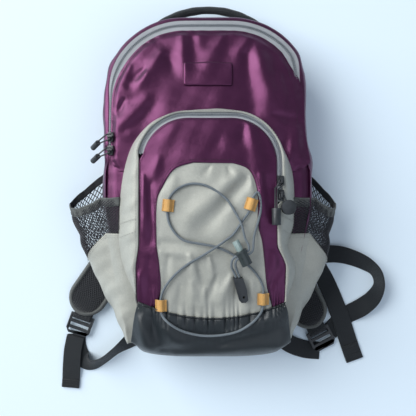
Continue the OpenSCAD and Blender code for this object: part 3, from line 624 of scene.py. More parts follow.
def width_at(y, g):
    """Half width of the body outline at height y."""
    cy, cx, r = BODY_TOP - TOP_CORNER_R, BODY_HALF_W - TOP_CORNER_R, TOP_CORNER_R + g
    upper = cx + np.sqrt(np.maximum(r * r - np.maximum(y - cy, 0) ** 2, 0))
    slope = np.maximum(FLANK_Y - y, 0) * (BODY_HALF_W - FOOT_HALF_W + 0.4) / 170
    return np.where(y > cy, upper, BODY_HALF_W + g - slope)


def panel_grid(y_rows, g, columns):
    """Rows across the body at the given heights, closer together near the edges."""
    s = np.linspace(-1, 1, columns)
    s = np.sign(s) * (1 - (1 - np.abs(s)) ** 1.25)
    w = width_at(y_rows, g)
    return s[None, :] * w[:, None], np.repeat(y_rows[:, None], columns, 1), w


def slump(p):
    """The upper right flank sinks inwards, as the pack is not stuffed full there."""
    x, y = p[..., 0], p[..., 1]
    p[..., 0] = x - SLUMP * smooth((x - 70) / 50) * smooth((204 - y) / 40) * smooth((y - 40) / 70)
    return p


def zip_curve(g, drop, y_low, roll_g=0.0, roll_drop=0.0):
    """A line beside the zip; on the flanks it moves by roll_g and sinks by roll_drop."""
    base = outline_run(0, y_low)
    turn = over_flank(base[:, 1])
    run = base + (outline_run(1, y_low) - base) * (g + roll_g * turn)[:, None]
    line = np.column_stack([run, front_z(run[:, 0], run[:, 1], drop + roll_drop * turn)])
    return slump(line[base[:, 1] >= y_low - 0.01])


def front_upper():
    """Panel above the pocket, baked in place like the rest of the flap's cloth."""
    r = TOP_CORNER_R + ZIP_INNER_G
    cy = BODY_TOP - TOP_CORNER_R
    round_top = cy + r * np.sin(np.radians(np.linspace(0, 90, 64)))
    rows = np.concatenate([np.linspace(46, cy, 62)[:-1], round_top])
    x, y, w = panel_grid(rows, inner_g(rows), 150)
    flat = BODY_HALF_W - TOP_CORNER_R
    to_arch = np.hypot(np.maximum(np.abs(x) - flat, 0), np.maximum(y - cy, 0))
    z = panel_height(x, y, np.maximum(TOP_CORNER_R + inner_g(y) - to_arch, 0))
    hem = smooth(1 - (w[:, None] - x) / 14) * smooth((190 - y) / 26) * smooth((y - 44) / 14)
    p = slump(np.stack([x, y, z], 2))
    p[..., 0] += HEM_REACH * hem
    p[..., 2] -= 1.5 * hem
    panel = grid_mesh("front_upper_panel", p, PLUM, thickness=1.2, planar_uv=True, flip=True)
    flap_blend(panel, "plum_nylon", "front_flap")


def front_lower():
    """Panel beside and under the pocket, carried out to the gusset below the zip's ends."""
    rows = np.linspace(-168, 68, 90)
    x, y, w = panel_grid(rows, -5, 90)
    edge = w[:, None] - np.abs(x)
    soft = cloth_noise(x, y) * 0.8 + folds(x, y, PANEL_FOLDS) * 0.7
    z = front_z(x, y, -1.4) - 6 * (1 - smooth(edge / 16)) + soft
    z = np.minimum(z, front_z(x, y, 1.5)) - 3.5 * smooth((y - 44) / 18)
    cloth("front_lower_panel", slump(np.stack([x, y, z], 2)), PLUM, "pack", "plum_nylon", "front_panel",
          thickness=1.2, planar_uv=True, flip=True)


GUSSET_PROFILE = [[-15, 14.8], [-9, 17], [-5.5, 22], [-1.8, 32], [0, 46], [-0.2, 58], [-2, 70],
                  [-4.2, 79], [-6, 84.5]]
GUSSET_LOW = -150


def body_gusset():
    """Side wall from the back panel round to the zip."""
    prof = spline(GUSSET_PROFILE, 4)
    rings = []
    outwards = outline_run(1, GUSSET_LOW) - outline_run(0, GUSSET_LOW)
    for g, z in prof:
        run = outline_run(g, GUSSET_LOW)
        straight = BACK_INSET * (min((z - BACK_Z) / (GIRTH_Z - BACK_Z), 1) - 1)
        run -= outwards * (max(g - straight, 0) * smooth((run[:, 1] - 195) / 30))[:, None]
        rings.append(np.column_stack([run, np.full(len(run), z)]))
    p = slump(np.array(rings))
    outer = zip_curve(ZIP_OUTER_G + 0.6, -3.9, GUSSET_LOW, -3.3, FLANK_SINK)
    steps, n = p.shape[:2]
    for i in range(steps):
        k = smooth((i - steps * 0.55) / (steps * 0.45))
        p[i, :, 2] += k * (outer[:, 2] - prof[-1][1])
        p[i, :, :2] += (outer[:, :2] - p[i, :, :2]) * smooth((i - steps + 5) / 5)
    along = np.linspace(0, 1, n)
    mid = np.sin(np.pi * np.linspace(0, 1, steps))[:, None]
    wave = 1.3 * np.sin(along * 61 + 1) + 0.9 * np.sin(along * 103 + 2.4) + 0.6 * np.sin(along * 151)
    centre = p[:, :, :2] - np.array([0, 30])
    unit = centre / np.linalg.norm(centre, axis=2)[:, :, None]
    calm = 1 - 0.85 * smooth((p[:, :, 1] - 195) / 25)
    p[:, :, :2] += unit * (mid * wave[None, :] * calm)[:, :, None] * 0.9
    cloth("body_gusset", p, PLUM, "pack", "plum_nylon", "main_shell", thickness=1.0, offset=0)


front_upper()
front_lower()
body_gusset()


# ---- Main zip --------------------------------------------------------------------------------
COIL_SPOTS = [(-0.35, 0.3), (0.35, 1.0), (1.2, 1.15)]
COIL_SIDES = 6


def tape_strip(start, end):
    """Tape between two lines, each given as g, drop, roll_g and roll_drop."""
    strips = []
    for t in np.linspace(0, 1, 5):
        g, drop, roll_g, roll_drop = np.array(start) * (1 - t) + np.array(end) * t
        strips.append(resample(zip_curve(g, drop, MAIN_ZIP_END_Y, roll_g, roll_drop), 260))
    return np.array(strips)


def coil_side(name, centre, side, skip, reach=1.7, pitch=2.4, r=0.55):
    """One half of a zip coil: a row of looped teeth along the curve, reaching towards its other half."""
    n = int(path_length(centre) / pitch)
    p = resample(centre, n * 2 + 1)
    verts, faces = [], []
    ring = circle_section(r, COIL_SIDES)
    up = np.array([0, 0, 1.0])
    spots = COIL_SPOTS + [(reach, 0.6), (reach + 0.25, 0.1)]
    for i in range(n):
        j = 2 * i + skip
        c, d = p[j], p[min(j + 1, len(p) - 1)] - p[max(j - 1, 0)]
        d = d / np.linalg.norm(d)
        s = np.cross(d, up) * side
        s /= np.linalg.norm(s)
        faces += tube_faces(len(spots), COIL_SIDES, len(verts), flip=True)
        for q, (a, b) in enumerate(spots):
            k = 0.7 if q in (0, 4) else 1.0
            for e in ring:
                verts.append(c + s * (a + 0.2 * e[1] * (q in (3, 4))) + up * (b + e[1] * k) + d * e[0] * k)
    return add_mesh(name, verts, faces, COIL)


def main_zip():
    """Both tapes, the coil and the seams of the main zip; its inner half is baked in place with the flap's
    cloth.
    """
    outer_edge = (ZIP_OUTER_G + 1.2, -3.6, -3.3, FLANK_SINK)
    inner_edge = (ZIP_INNER_G - 1.2, -3.7, FLANK_ROLL, 0.0)
    outer = tape_strip(outer_edge, (-13.15, -4.1, 1.2, -3.0))
    cloth("main_zip_outer_tape", outer, TAPE, "pack", "zip_tape", "main_zip_outer", thickness=0.6)
    inner = tape_strip((-13.65, -4.1, 1.2, -2.6), inner_edge)
    flap_tape = grid_mesh("main_zip_inner_tape", inner, TAPE, thickness=0.6)
    flap_blend(flap_tape, "zip_tape", "main_zip_flap", "main_zip_legs")
    line = zip_curve(-13.4, -4.0, MAIN_ZIP_END_Y, 1.2, -2.8)
    piece(coil_side("main_coil_outer", line, 1, 0), "pack", "zip_tape")
    flap_blend(coil_side("main_coil_inner", line, -1, 1), "zip_tape")
    outer_row = zip_curve(ZIP_OUTER_G + 2.6, -3.6, STITCH_END_Y, -3.3, FLANK_SINK)
    stitches("main_zip_outer_stitches", outer_row, "pack", "plum_nylon", THREAD_DARK)
    inner_row = zip_curve(ZIP_INNER_G - 2.2, -2.3, STITCH_END_Y, FLANK_ROLL, 0.0)
    row = stitches("main_zip_inner_stitches", inner_row, "pack", "plum_nylon", THREAD_DARK)
    row.parent = None
    flap_blend(row, "plum_nylon")


main_zip()


# ---- Front pocket ----------------------------------------------------------------------------
RIM_STEPS, RIM_ROWS = 160, 14
GUSSET_SEAM_Y = -24
RIM_FOOT = [[-86, -146], [-91, -115], [-105, -83], [-113, -50], [-113, -15], [-111, 12], [-106, 46],
            [-96, 78], [-79, 101], [-60, 114], [-28, 122], [0, 124.5], [22, 124.5], [58, 117], [84, 93],
            [97, 70], [106, 46], [109, 12], [108, -24], [101, -47], [110, -70], [110, -90], [102, -112],
            [93, -146]]
POCKET_FOLDS = [
    [50, 104, 64, 44, 9, 3.4], [64, 40, 66, -10, 6, 2.8], [78, 96, 86, 68, 7, 1.6],
    [-79, 38, -77, -28, 5, 2.6], [-70, 30, -69, -40, 5, -2.2], [-84, -84, -82, -108, 6, 2.6],
    [44, 100, 42, 84, 5, -2.2],
    [-42, 100, -60, 78, 9, 1.6], [14, 84, 10, 70, 8, -1.2], [-60, 60, -66, 40, 6, 1.5],
    [80, -58, 84, -84, 7, 2.2], [76, -100, 88, -70, 5, -2.0], [-72, -62, -72, -96, 5, -1.6]]
INSERT_FOLDS = [
    [34, 40, -22, -16, 11, 4.0], [47, 34, -6, -22, 9, -4.4], [51, 37, 53, 22, 4, 2.6],
    [26, -2, 8, -34, 12, 1.5],
    [-40, 34, -50, 4, 8, 1.8], [2, 50, -4, 42, 4, -1.6], [24, 48, 28, 40, 4, -1.6],
    [-57, -42, 4, -46, 7, -2.4], [-56, -54, -4, -58, 6, 1.8], [-48, -60, -52, -92, 5, -2.0],
    [-22, -58, -16, -84, 5, 2.6], [2, -60, 6, -84, 4, 2.4], [-12, -66, -6, -92, 4, -2.2],
    [28, -84, 16, -112, 6, 3.4], [10, -84, 2, -108, 4, -2.6], [-20, -92, -16, -118, 6, 2.6],
    [36, -92, 34, -120, 5, -2.6],
    [54, -92, 52, -118, 6, 2.4], [-34, -96, -34, -118, 5, -1.8], [-4, -100, -6, -124, 4, 1.8]]


def seam_y(x):
    """The gathered bottom seam of the pocket."""
    return POCKET_FOOT_Y + SAG_R - np.sqrt(SAG_R ** 2 - np.minimum(np.abs(x - 6), 150) ** 2) + 3


def gathers(x, y):
    """Puckers that fade with distance from the bottom seam."""
    d = np.abs(y - seam_y(x))
    step = 9.0 + 1.2 * np.sin(x * 0.11)
    wave = np.abs(np.sin(math.pi * (x + 2.0 * np.sin(x * 0.21)) / step)) ** 0.8 - 0.55
    return 4.0 * wave * np.exp(-(d / 14.0) ** 1.2) * (0.75 + 0.35 * np.sin(x * 0.37 + 1))


def face_run(offset, n=RIM_STEPS):
    """Face outline from its lower left round the arch to its lower right; offset(x, y) grows it."""
    half0, half1 = face_half(0.0), face_half(1.0)
    p0 = np.concatenate([(half0 * [-1, 1])[::-1], half0])
    p1 = np.concatenate([(half1 * [-1, 1])[::-1], half1])
    keep = np.concatenate([[True], np.linalg.norm(np.diff(p0, axis=0), axis=1) > 1e-6])
    p0, p1 = resample(p0[keep], n), resample(p1[keep], n)
    normal = p1 - p0
    normal /= np.linalg.norm(normal, axis=1)[:, None]
    g = offset(p0[:, 0], p0[:, 1])
    return p0 + normal * g[:, None] + [POCKET_X, 0]


def zip_side(x, y):
    """1 where the pocket zip runs: the arch and the right leg."""
    left = smooth((y - 60) / 12)
    right = smooth((y - 2) / 10)
    return np.where(x < 0, left, right)


def face_edge(x, y):
    """How far the purple face reaches beyond the pocket's nominal outline."""
    zipped = zip_side(x, y)
    left = -4.5 + 5.5 * smooth((-45 - y) / 30)
    right = -8.3 + 12.8 * smooth((-48 - y) / 22)
    scallop = 0.5 * np.sin(y * 0.9) * smooth((-30 - y) / 20)
    return -8.3 * zipped + (1 - zipped) * (np.where(x < 0, left, right) + scallop)


def rim_edge(x, y):
    """How far the pale gusset's upper edge stands off the same outline."""
    zipped = zip_side(x, y)
    left = -1.8 + 4.4 * smooth((-45 - y) / 30)
    right = -6.2 + 12.4 * smooth((-48 - y) / 22)
    return 0.8 * zipped + (1 - zipped) * np.where(x < 0, left, right)


def pocket_surface(x, y, table, base=0.0):
    return pocket_z(x, y, base) + folds(x, y, table) + 0.55 * cloth_noise(x * 1.3, y * 1.3) + gathers(x, y)


def pocket_rim():
    """Pale gusset between the front panel and the pocket's face."""
    low = resample(spline(RIM_FOOT, 10), RIM_STEPS)
    top = face_run(rim_edge)
    x, y = low[:, 0], low[:, 1]
    seam = y - GUSSET_SEAM_Y
    z_low, z_top = front_z(x, y, 0.8), pocket_z(top[:, 0], top[:, 1], 0.9)
    wobble = 1.1 * np.sin(y * 0.16 + x * 0.1) + 0.8 * np.sin(y * 0.31 + 1.7)
    rows = []
    for t in np.arange(RIM_ROWS + 1) / RIM_ROWS:
        xy = low + (top - low) * t
        mid = math.sin(math.pi * t)
        z = z_low + (z_top - z_low) * (math.sin(t * math.pi / 2) ** 1.15)
        z = z + wobble * mid * np.clip(np.abs(x) / 90, 0, 1)
        z = z - 1.6 * np.exp(-(seam / 1.8) ** 2) * math.sin(math.pi * min(1, t * 1.1)) ** 0.5
        pleat = np.sin(xy[:, 0] * 1.5) * np.exp(-((seam - 5) / 7) ** 2) * (seam > 0)
        z = z + 0.7 * pleat * mid + 0.6 * smooth(-seam / 2.0) * mid
        rows.append(np.column_stack([xy, z]))
    fold_in = face_run(lambda x, y: rim_edge(x, y) - 1.6)
    for lift in (0.9, -2.6):
        rows.append(np.column_stack([fold_in, pocket_z(fold_in[:, 0], fold_in[:, 1], lift)]))
    rim = np.array(rows)
    cloth("pocket_gusset_cloth", rim, STONE, "pack", "stone_nylon", "pocket_gusset", thickness=0.9)
    stitches("pocket_rim_stitches", rim[-4] + [0, 0, 0.9], "pack", "stone_nylon", THREAD_PALE)
    for side, mirror in (("left", -1), ("right", 1)):
        at = [i for i in range(RIM_STEPS) if (rim[0, i, 0] < 0) == (side == "left")]
        k = min(at, key=lambda i: abs(rim[5, i, 1] - GUSSET_SEAM_Y))
        for row, shift in (("upper", 2 * mirror), ("lower", -2 * mirror)):
            line = rim[1:-3, k + shift] + [0, 0, 1.0]
            stitches(f"gusset_seam_{side}_{row}", line, "pack", "stone_nylon", THREAD_PALE)


def pocket_zip():
    """Two tapes and a coil along the arch and the right leg of the pocket."""
    def part(g):
        run = face_run(lambda x, y: np.full_like(x, g), 400)
        keep = np.where(run[:, 0] < 0, run[:, 1] > 66, run[:, 1] > 6)
        return run[keep]

    def strip(g0, g1, d0, d1):
        out = []
        for t in np.linspace(0, 1, 5):
            run = resample(part(g0 + (g1 - g0) * t), 220)
            out.append(np.column_stack([run, pocket_z(run[:, 0], run[:, 1], d0 + (d1 - d0) * t)]))
        return np.array(out)

    for name, edges in (("outer", (0.8, -3.9, -1.6, -1.3)), ("inner", (-4.1, -9.4, -1.3, -1.0))):
        cloth(f"pocket_zip_{name}_tape", strip(*edges), TAPE, "pack", "zip_tape", f"pocket_zip_{name}",
              thickness=0.6)
    mid = part(-4.0)
    line = np.column_stack([mid, pocket_z(mid[:, 0], mid[:, 1], -1.3)])
    for name, side, skip in (("outer", 1, 0), ("inner", -1, 1)):
        piece(coil_side(f"pocket_coil_{name}", line, side, skip, 1.3, 1.9, 0.45), "pack", "zip_tape")


INSERT_LEFT = [[-66, -121], [-60, -108], [-58, -92], [-60, -66], [-63, -40], [-62.5, 6], [-55, 26],
               [-41, 47], [-18, 55]]
INSERT_RIGHT = [[80, -121], [76, -106], [72, -92], [69, -65], [66, -41], [61, -20], [60, 20],
                [50, 46], [30, 54.5]]


def insert_run(n):
    """Insert outline from its lower left round the top to its lower right."""
    return resample(np.concatenate([spline(INSERT_LEFT, 8), spline(INSERT_RIGHT, 8)[::-1]]), n)


def to_seam(x, y):
    """Move the lowest rows of a panel on to the curved bottom seam."""
    low, reach = -121.0, 50.0
    return y + (seam_y(x) - low) * smooth((low + reach - y) / reach)


def pocket_face():
    """The pocket's purple face, from the pale insert out to its turned-in edge."""
    outer = face_run(face_edge, 200)
    inner = insert_run(200)
    rows = []
    for t in np.arange(27) / 26:
        xy = inner + (outer - inner) * t
        x, y = xy[:, 0], xy[:, 1]
        pinch = 1 - smooth(min(t, 1 - t) / 0.09)
        z = pocket_surface(x, y, POCKET_FOLDS, -0.2) * (1 - pinch) + pinch * pocket_z(x, y, 0.1)
        rows.append(np.column_stack([x, y, z]))
    p = np.array(rows + [rows[-1] - [0, 0, 3]])
    cloth("pocket_face_cloth", p, PLUM, "pack", "plum_nylon", "pocket_front",
          thickness=1.0, planar_uv=True, flip=True)
    stitches("pocket_edge_stitches", p[-3, 4:-4] + [0, 0, 0.4], "pack", "plum_nylon", THREAD_DARK)
    stitches("insert_edge_stitches", p[2, 3:-3] + [0, 0, 0.5], "pack", "plum_nylon", THREAD_DARK)


def pocket_insert():
    """The pale insert in the middle of the pocket's face."""
    left, right = resample(spline(INSERT_LEFT, 8), 120), resample(spline(INSERT_RIGHT, 8), 120)
    s = np.linspace(0, 1, 110)[None, :, None]
    xy = left[:, None, :] * (1 - s) + right[:, None, :] * s
    x, y = xy[..., 0], xy[..., 1]
    y = to_seam(x, y)
    z = pocket_surface(x, y, INSERT_FOLDS, -0.9)
    to_side = np.minimum(s[..., 0], 1 - s[..., 0]) * 130
    edge = np.minimum(to_side, (1 - np.linspace(0, 1, 120))[:, None] * 180)
    z = np.where(edge < 5, z + (pocket_z(x, y, -0.7) - z) * (1 - smooth(edge / 5)) * 0.8, z)
    cloth("pocket_insert_cloth", np.stack([x, y, z], 2), STONE, "pack", "stone_nylon", "pocket_insert",
          thickness=0.9, planar_uv=True, flip=True)


BASE_FOLDS = [
    [-60, -178, 10, -173, 9, -4.0], [18, -170, 96, -150, 9, -3.6], [-40, -186, 30, -182, 8, 3.0],
    [20, -158, 92, -138, 8, 3.4], [-84, -138, -74, -176, 7, 4.5], [-70, -136, -58, -176, 7, -4.5],
    [-52, -150, -30, -172, 8, 3.0], [66, -138, 92, -130, 6, 2.6], [-96, -150, -84, -186, 6, -3.0],
    [-20, -152, 30, -156, 7, -2.0]]
BASE_PROFILE = [[-124, 108], [-146, 105], [-165, 99], [-180, 89], [-189, 74], [-194, 55], [-194.5, 36],
                [-190, 16]]


def pocket_base():
    """Coated base, gathered where it joins the pocket and turned under to the back panel."""
    u = np.linspace(-1, 1, 150)
    half_top, half_low = 91, 101
    prof = spline(BASE_PROFILE, 10)[6:]
    rows = []
    for t, (py, pz) in zip(np.arange(len(prof)) / (len(prof) - 1), prof):
        half = half_top + (half_low - half_top) * smooth(t * 3)
        x = u * half * (1 - 0.02 * smooth((t - 0.7) / 0.3)) + (POCKET_X + 3) * (1 - t)
        corner = np.maximum(np.abs(u) - 0.82, 0) / 0.18
        top_y = seam_y(x)
        k = smooth(t * 3.2)
        y = top_y * (1 - k) + (py + (11 * u ** 4 + 10 * corner ** 2) * smooth((t - 0.2) * 3)) * k
        z_seam = pocket_z(x, top_y, -0.3)
        z = z_seam * (1 - k) + (pz - 10 * corner ** 2 * (1 - smooth((t - 0.5) / 0.3))) * k
        soft = gathers(x, y) * 1.1 + folds(x, y, BASE_FOLDS) + 0.5 * cloth_noise(x, y)
        z = z + soft * (1 - smooth((t - 0.45) / 0.3))
        rows.append(np.column_stack([x, y, z]))
    lip = rows[0].copy()
    lip[:, 1] += 3.0
    lip[:, 2] = pocket_z(lip[:, 0], lip[:, 1], 0.5) + gathers(lip[:, 0], lip[:, 1])
    p = np.array([lip] + rows)
    cloth("coated_base_cloth", p, CHARCOAL, "pack", "charcoal_coated", "bottom_panel", "pocket_base_band",
          thickness=1.2, flip=True)
    for name, row, up in (("base_seam_upper_stitches", 0, 1.0), ("base_seam_lower_stitches", 3, 0.8)):
        stitches(name, p[row] + [0, -0.8, up], "pack", "charcoal_coated", THREAD_BLACK, r=0.34)


pocket_rim()
pocket_zip()
pocket_face()
pocket_insert()
pocket_base()


# ---- Wings and mesh pockets ------------------------------------------------------------------
BULGE = {"left": 46, "right": 32}
BULGE_TOE, BULGE_CORNER = 1.5, 35
MOUTH_Y, CORNER_Y, TOE_Y = 4, -70, -184
FRONT_SEAM_Z, BACK_SEAM_Z = 74, 19
MIRROR = {"left": -1, "right": 1}


def quad(a, b, c, t):
    """A curve through heights a at the front seam, b halfway and c at the back seam."""
    return (1 - t) * (1 - t) * a + 2 * t * (1 - t) * (2 * b - (a + c) / 2) + t * t * c


def mouth_y(u):
    return quad(13, 4, 66, u)


def join_y(u):
    return quad(-32, -70, -78, u)


def toe_y(u):
    return quad(-174, -180, -184, u)


def flank(y):
    narrowing = np.maximum(FLANK_Y - y, 0) * (BODY_HALF_W - FOOT_HALF_W + 4) / 190
    return BODY_HALF_W - narrowing


def side_point(u, y, bulge_top, inset=0.0):
    """A point on the stretched side pocket; u runs from the front seam to the back seam."""
    tuck = np.where(u < 0.5, 0, 16 * (2 * u - 1) ** 2)
    yy = np.minimum(y, 20)
    rise = 1 - (1 - (yy - CORNER_Y) / (MOUTH_Y - CORNER_Y)) ** 2
    to_mouth = BULGE_CORNER + (bulge_top - BULGE_CORNER) * rise
    from_toe = BULGE_TOE + (BULGE_CORNER - BULGE_TOE) * (yy - TOE_Y) / (CORNER_Y - TOE_Y)
    b = np.where(yy > CORNER_Y, to_mouth, from_toe)
    x = flank(y) + 1 - tuck + (b - inset) * np.sin(math.pi * u)
    z = FRONT_SEAM_Z + (BACK_SEAM_Z - FRONT_SEAM_Z) * u + 2 * np.sin(2 * math.pi * u)
    return np.stack([x, y, z], -1)


def side_grid(side, u, v, y_of, inset=0.0):
    uu, vv = np.meshgrid(u, v, indexing="ij")
    return side_point(uu, y_of(uu, vv), BULGE[side], inset) * [MIRROR[side], 1, 1]


FOOT_Y = [-190, -146, -115, -83, -50, 30]
FOOT_X = {"left": [86, 84, 89, 103, 111, 111], "right": [90, 90, 99, 104, 97, 104]}


def lead_rows(side, row, steps, lift=1.2):
    """Cloth from under the pocket's gusset out to a row of points on the flank."""
    y = row[:, 1]
    x0 = MIRROR[side] * np.interp(y, FOOT_Y, FOOT_X[side])
    rows = []
    for t in np.linspace(0, 1, steps + 1)[:-1]:
        q = row.copy()
        q[:, 0] = x0 + (row[:, 0] - x0) * t
        z0 = np.maximum(front_z(q[:, 0], y, lift), 62)
        q[:, 2] = z0 * (1 - t ** 2.6) + row[:, 2] * t ** 2.6
        rows.append(q)
    return np.array(rows)


def crumple(p, side, amount=1.0):
    """Soft irregular folds over a side grid, fading to nothing at its seams."""
    n = np.linspace(0, 1, p.shape[0])[:, None]
    m = np.linspace(0, 1, p.shape[1])[None, :]
    mask = np.sin(math.pi * n) * np.sin(math.pi * m) ** 0.5 * amount
    y = p[..., 1]
    p[..., 2] += mask * (1.6 * np.sin(n * 13 + y * 0.06) + 1.3 * np.sin(y * 0.13 + n * 5)
                         + 0.5 * np.sin(y * 0.34 + n * 21))
    p[..., 0] += mask * MIRROR[side] * (0.9 * np.sin(y * 0.19 + n * 9) + 0.6 * np.sin(n * 23 + y * 0.05))
    return p


def wing(side):
    """Pale cloth wing from under the gusset, round the flank to the back."""
    def y_of(u, v):
        a, b = join_y(u), toe_y(u)
        return a + (b - a) * v

    p = side_grid(side, np.linspace(0, 1, 60), np.linspace(0, 1, 60), y_of)
    p = crumple(np.concatenate([lead_rows(side, p[0], 18), p]), side)
    cloth(f"wing_{side}", p, STONE, "pack", "stone_nylon", f"side_wing_{side}",
          thickness=1.0, flip=side == "right", offset=0)
    for k, gap in (("a", 2.4), ("b", 5.4)):
        edge = p[:, 0] + [0, -gap, 0.6]
        stitches(f"wing_{side}_top_stitches_{k}", edge[2:62], "pack", "stone_nylon", THREAD_PALE)


NET_CELL_U, NET_CELL_V, NET_LEAD = 58, 27, 12
YARN_D = 1.7


def net(side):
    """Open knitted mesh: a lattice of yarn with real holes."""
    def y_of(u, v):
        a, b = mouth_y(u), join_y(u)
        return a + (b - a) * (0.06 + 0.95 * v)

    nu, nv = NET_CELL_U + NET_LEAD, NET_CELL_V
    p = side_grid(side, np.linspace(0, 1, NET_CELL_U), np.linspace(0, 1, nv), y_of)
    p = crumple(np.concatenate([lead_rows(side, p[0], NET_LEAD, 2.0), p]), side, 1.2)
    faces = []
    for i in range(1, nu - 1):
        for j in range(1 + i % 2, nv - 1, 2):
            at = [(i - 1) * nv + j, i * nv + j - 1, (i + 1) * nv + j, i * nv + j + 1]
            faces.append(at if side == "left" else at[::-1])
    obj = add_mesh(f"net_{side}", p.reshape(-1, 3), faces, NET, grid_uv(p))
    bm = bmesh.new()
    bm.from_mesh(obj.data)
    bmesh.ops.delete(bm, geom=[v for v in bm.verts if not v.link_faces], context="VERTS")
    bm.to_mesh(obj.data)
    bm.free()
    mod = obj.modifiers.new("yarn", "WIREFRAME")
    mod.thickness, mod.use_even_offset, mod.use_replace = YARN_D * MM, False, True
    piece(obj, "pack", "pocket_mesh", f"mesh_pocket_{side}")


BINDING_W = 11


def mouth(side):
    """Folded elastic binding along the mouth: grey across the front, black along the back."""
    def y_of(u, v):
        return mouth_y(u) - BINDING_W * v

    def band(u, v, lead):
        p = side_grid(side, u, v, y_of, -1.4)
        if lead:
            p = np.concatenate([lead_rows(side, p[0], lead, 2.6), p])
        n = np.arange(len(p))
        p[..., 2] += 0.4 * np.sin(n * 0.8)[:, None]
        p[..., 1] += 0.4 * np.sin(n * 0.45 + 1)[:, None]
        return p

    across = np.linspace(-0.02, 1, 7)
    front = band(np.linspace(0, 0.52, 46), across, 14)
    cloth(f"mouth_binding_{side}", front, BINDING, "pack", "grey_binding", f"mesh_binding_{side}",
          thickness=1.8, flip=side == "right")
    back = band(np.linspace(0.5, 1, 46), across, 0)
    cloth(f"mouth_binding_back_{side}", back, WEBBING, "pack", "black_webbing",
          thickness=1.8, flip=side == "right")
    for k, row in (("a", 1), ("b", 5)):
        line = front[:, row] + [0, 0, 0.4]
        stitches(f"mouth_{side}_stitches_{k}", line, "pack", "grey_binding", THREAD_BLACK)


for side in MIRROR:
    wing(side)
    net(side)
    mouth(side)


# ---- Padded things ---------------------------------------------------------------------------
def pillow(name, outline, z0, z1, material, edge, crown=0.0, rings=5, ripple_h=0.0):
    """Closed padded form over an outline: flat below, rounded sides, crowned top."""
    p = resample(outline, 140, closed=True)
    centre = p.mean(0)
    t = np.roll(p, -1, 0) - np.roll(p, 1, 0)
    n = np.stack([t[:, 1], -t[:, 0]], 1)
    n /= np.linalg.norm(n, axis=1)[:, None]
    area = 0.5 * np.sum(p[:, 0] * np.roll(p[:, 1], -1) - np.roll(p[:, 0], -1) * p[:, 1])
    n *= 1 if area > 0 else -1
    loops = []
    h = z1 - z0
    for a in np.linspace(-90, 90, 9):
        inset = edge * (1 - math.cos(math.radians(a)))
        z = z0 + h / 2 + h / 2 * math.sin(math.radians(a))
        loops.append(np.column_stack([p - n * inset, np.full(len(p), z)]))
    last = loops[-1]
    for i in range(1, rings + 1):
        k = i / (rings + 1)
        ring = last.copy()
        ring[:, :2] = last[:, :2] + (centre - last[:, :2]) * k
        wave = np.sin(ring[:, 0] * 0.21 + ring[:, 1] * 0.13)
        ring[:, 2] += crown * math.sin(k * math.pi / 2) + ripple_h * wave
        loops.append(ring)
    m, c = len(loops), len(p)
    faces = grid_faces(m, c, closed_v=True, flip=area < 0)
    verts = list(np.concatenate(loops)) + [[*centre, z1 + crown], [*centre, z0]]
    top, low = m * c, m * c + 1
    for j in range(c):
        a, b = (m - 1) * c + j, (m - 1) * c + (j + 1) % c
        faces.append((a, b, top) if area > 0 else (b, a, top))
        faces.append(((j + 1) % c, j, low) if area > 0 else (j, (j + 1) % c, low))
    return add_mesh(name, verts, faces, material)


def strap_outline(path, s, reach, z):
    """A line down one edge of the strap, round its end and back up the other edge."""
    sides = [np.column_stack([path[:, :2] + k * s * reach, np.full(len(path), z)]) for k in (-1, 1)]
    return np.concatenate([sides[0], sides[1][::-1]])


def strap_body(side, route):
    """Padded strap with a rounded lower end, its pad pinched into the binding along both edges."""
    p = resample(spline([[x, y, 0] for x, y in route], 10), 90)
    n = len(p)
    share = np.minimum(1, 2 * np.arange(n) / (n - 1))
    half = (STRAP_TOP_W + (STRAP_LOW_W - STRAP_TOP_W) * share) / 2 - 1.6
    d = p[-1] - p[-2]
    d /= np.linalg.norm(d)
    a = np.radians(np.linspace(6, 88, 14))
    path = np.concatenate([p, p[-1] + d * (half[-1] * np.sin(a))[:, None]])
    half = np.concatenate([half, half[-1] * np.cos(a)])
    t = np.gradient(path, axis=0)
    t /= np.linalg.norm(t, axis=1)[:, None]
    s = np.stack([t[:, 1], -t[:, 0]], 1)
    phi = np.linspace(0, 2 * math.pi, 32, endpoint=False)
    cx = np.sign(np.cos(phi)) * np.abs(np.cos(phi)) ** 0.55
    cz = np.sign(np.sin(phi)) * np.abs(np.sin(phi)) ** 0.7
    dent = 0.35 * np.sin(np.arange(len(path)) * 0.35)
    rows = []
    for i, w in enumerate(half):
        z = 6.0 + 5.7 * cz * min(1.0, 0.35 + w / 20) + dent[i] * (cz > 0) * (w > 12)
        rows.append(np.column_stack([path[i, 0] + s[i, 0] * cx * w, path[i, 1] + s[i, 1] * cx * w, z]))
    m, c = len(rows), len(phi)
    along = np.arange(m)[:, None] * 3.0 + 0 * phi
    uv = np.stack([along, cx[None, :] * half[:, None]], 2).reshape(-1, 2)
    obj = add_mesh(f"strap_pad_{side}", np.concatenate(rows), tube_faces(m, c), SPACER, uv)
    piece(obj, f"strap_{side}", "spacer_mesh", f"shoulder_strap_{side}")
    rim = resample(strap_outline(path, s, np.maximum(half - 1.8, 0)[:, None], 6.2), 240)
    band = sweep_mesh(f"strap_edge_{side}", rim, circle_section(1.0, 16) * [3.6, 6.2], BINDING)
    piece(band, f"strap_{side}", "grey_binding", f"strap_binding_{side}")
    seam = resample(strap_outline(path, s, (half * 0.8)[:, None], 11.6), 300)
    stitches(f"strap_{side}_stitches", seam, f"strap_{side}", "grey_binding", THREAD_BLACK)


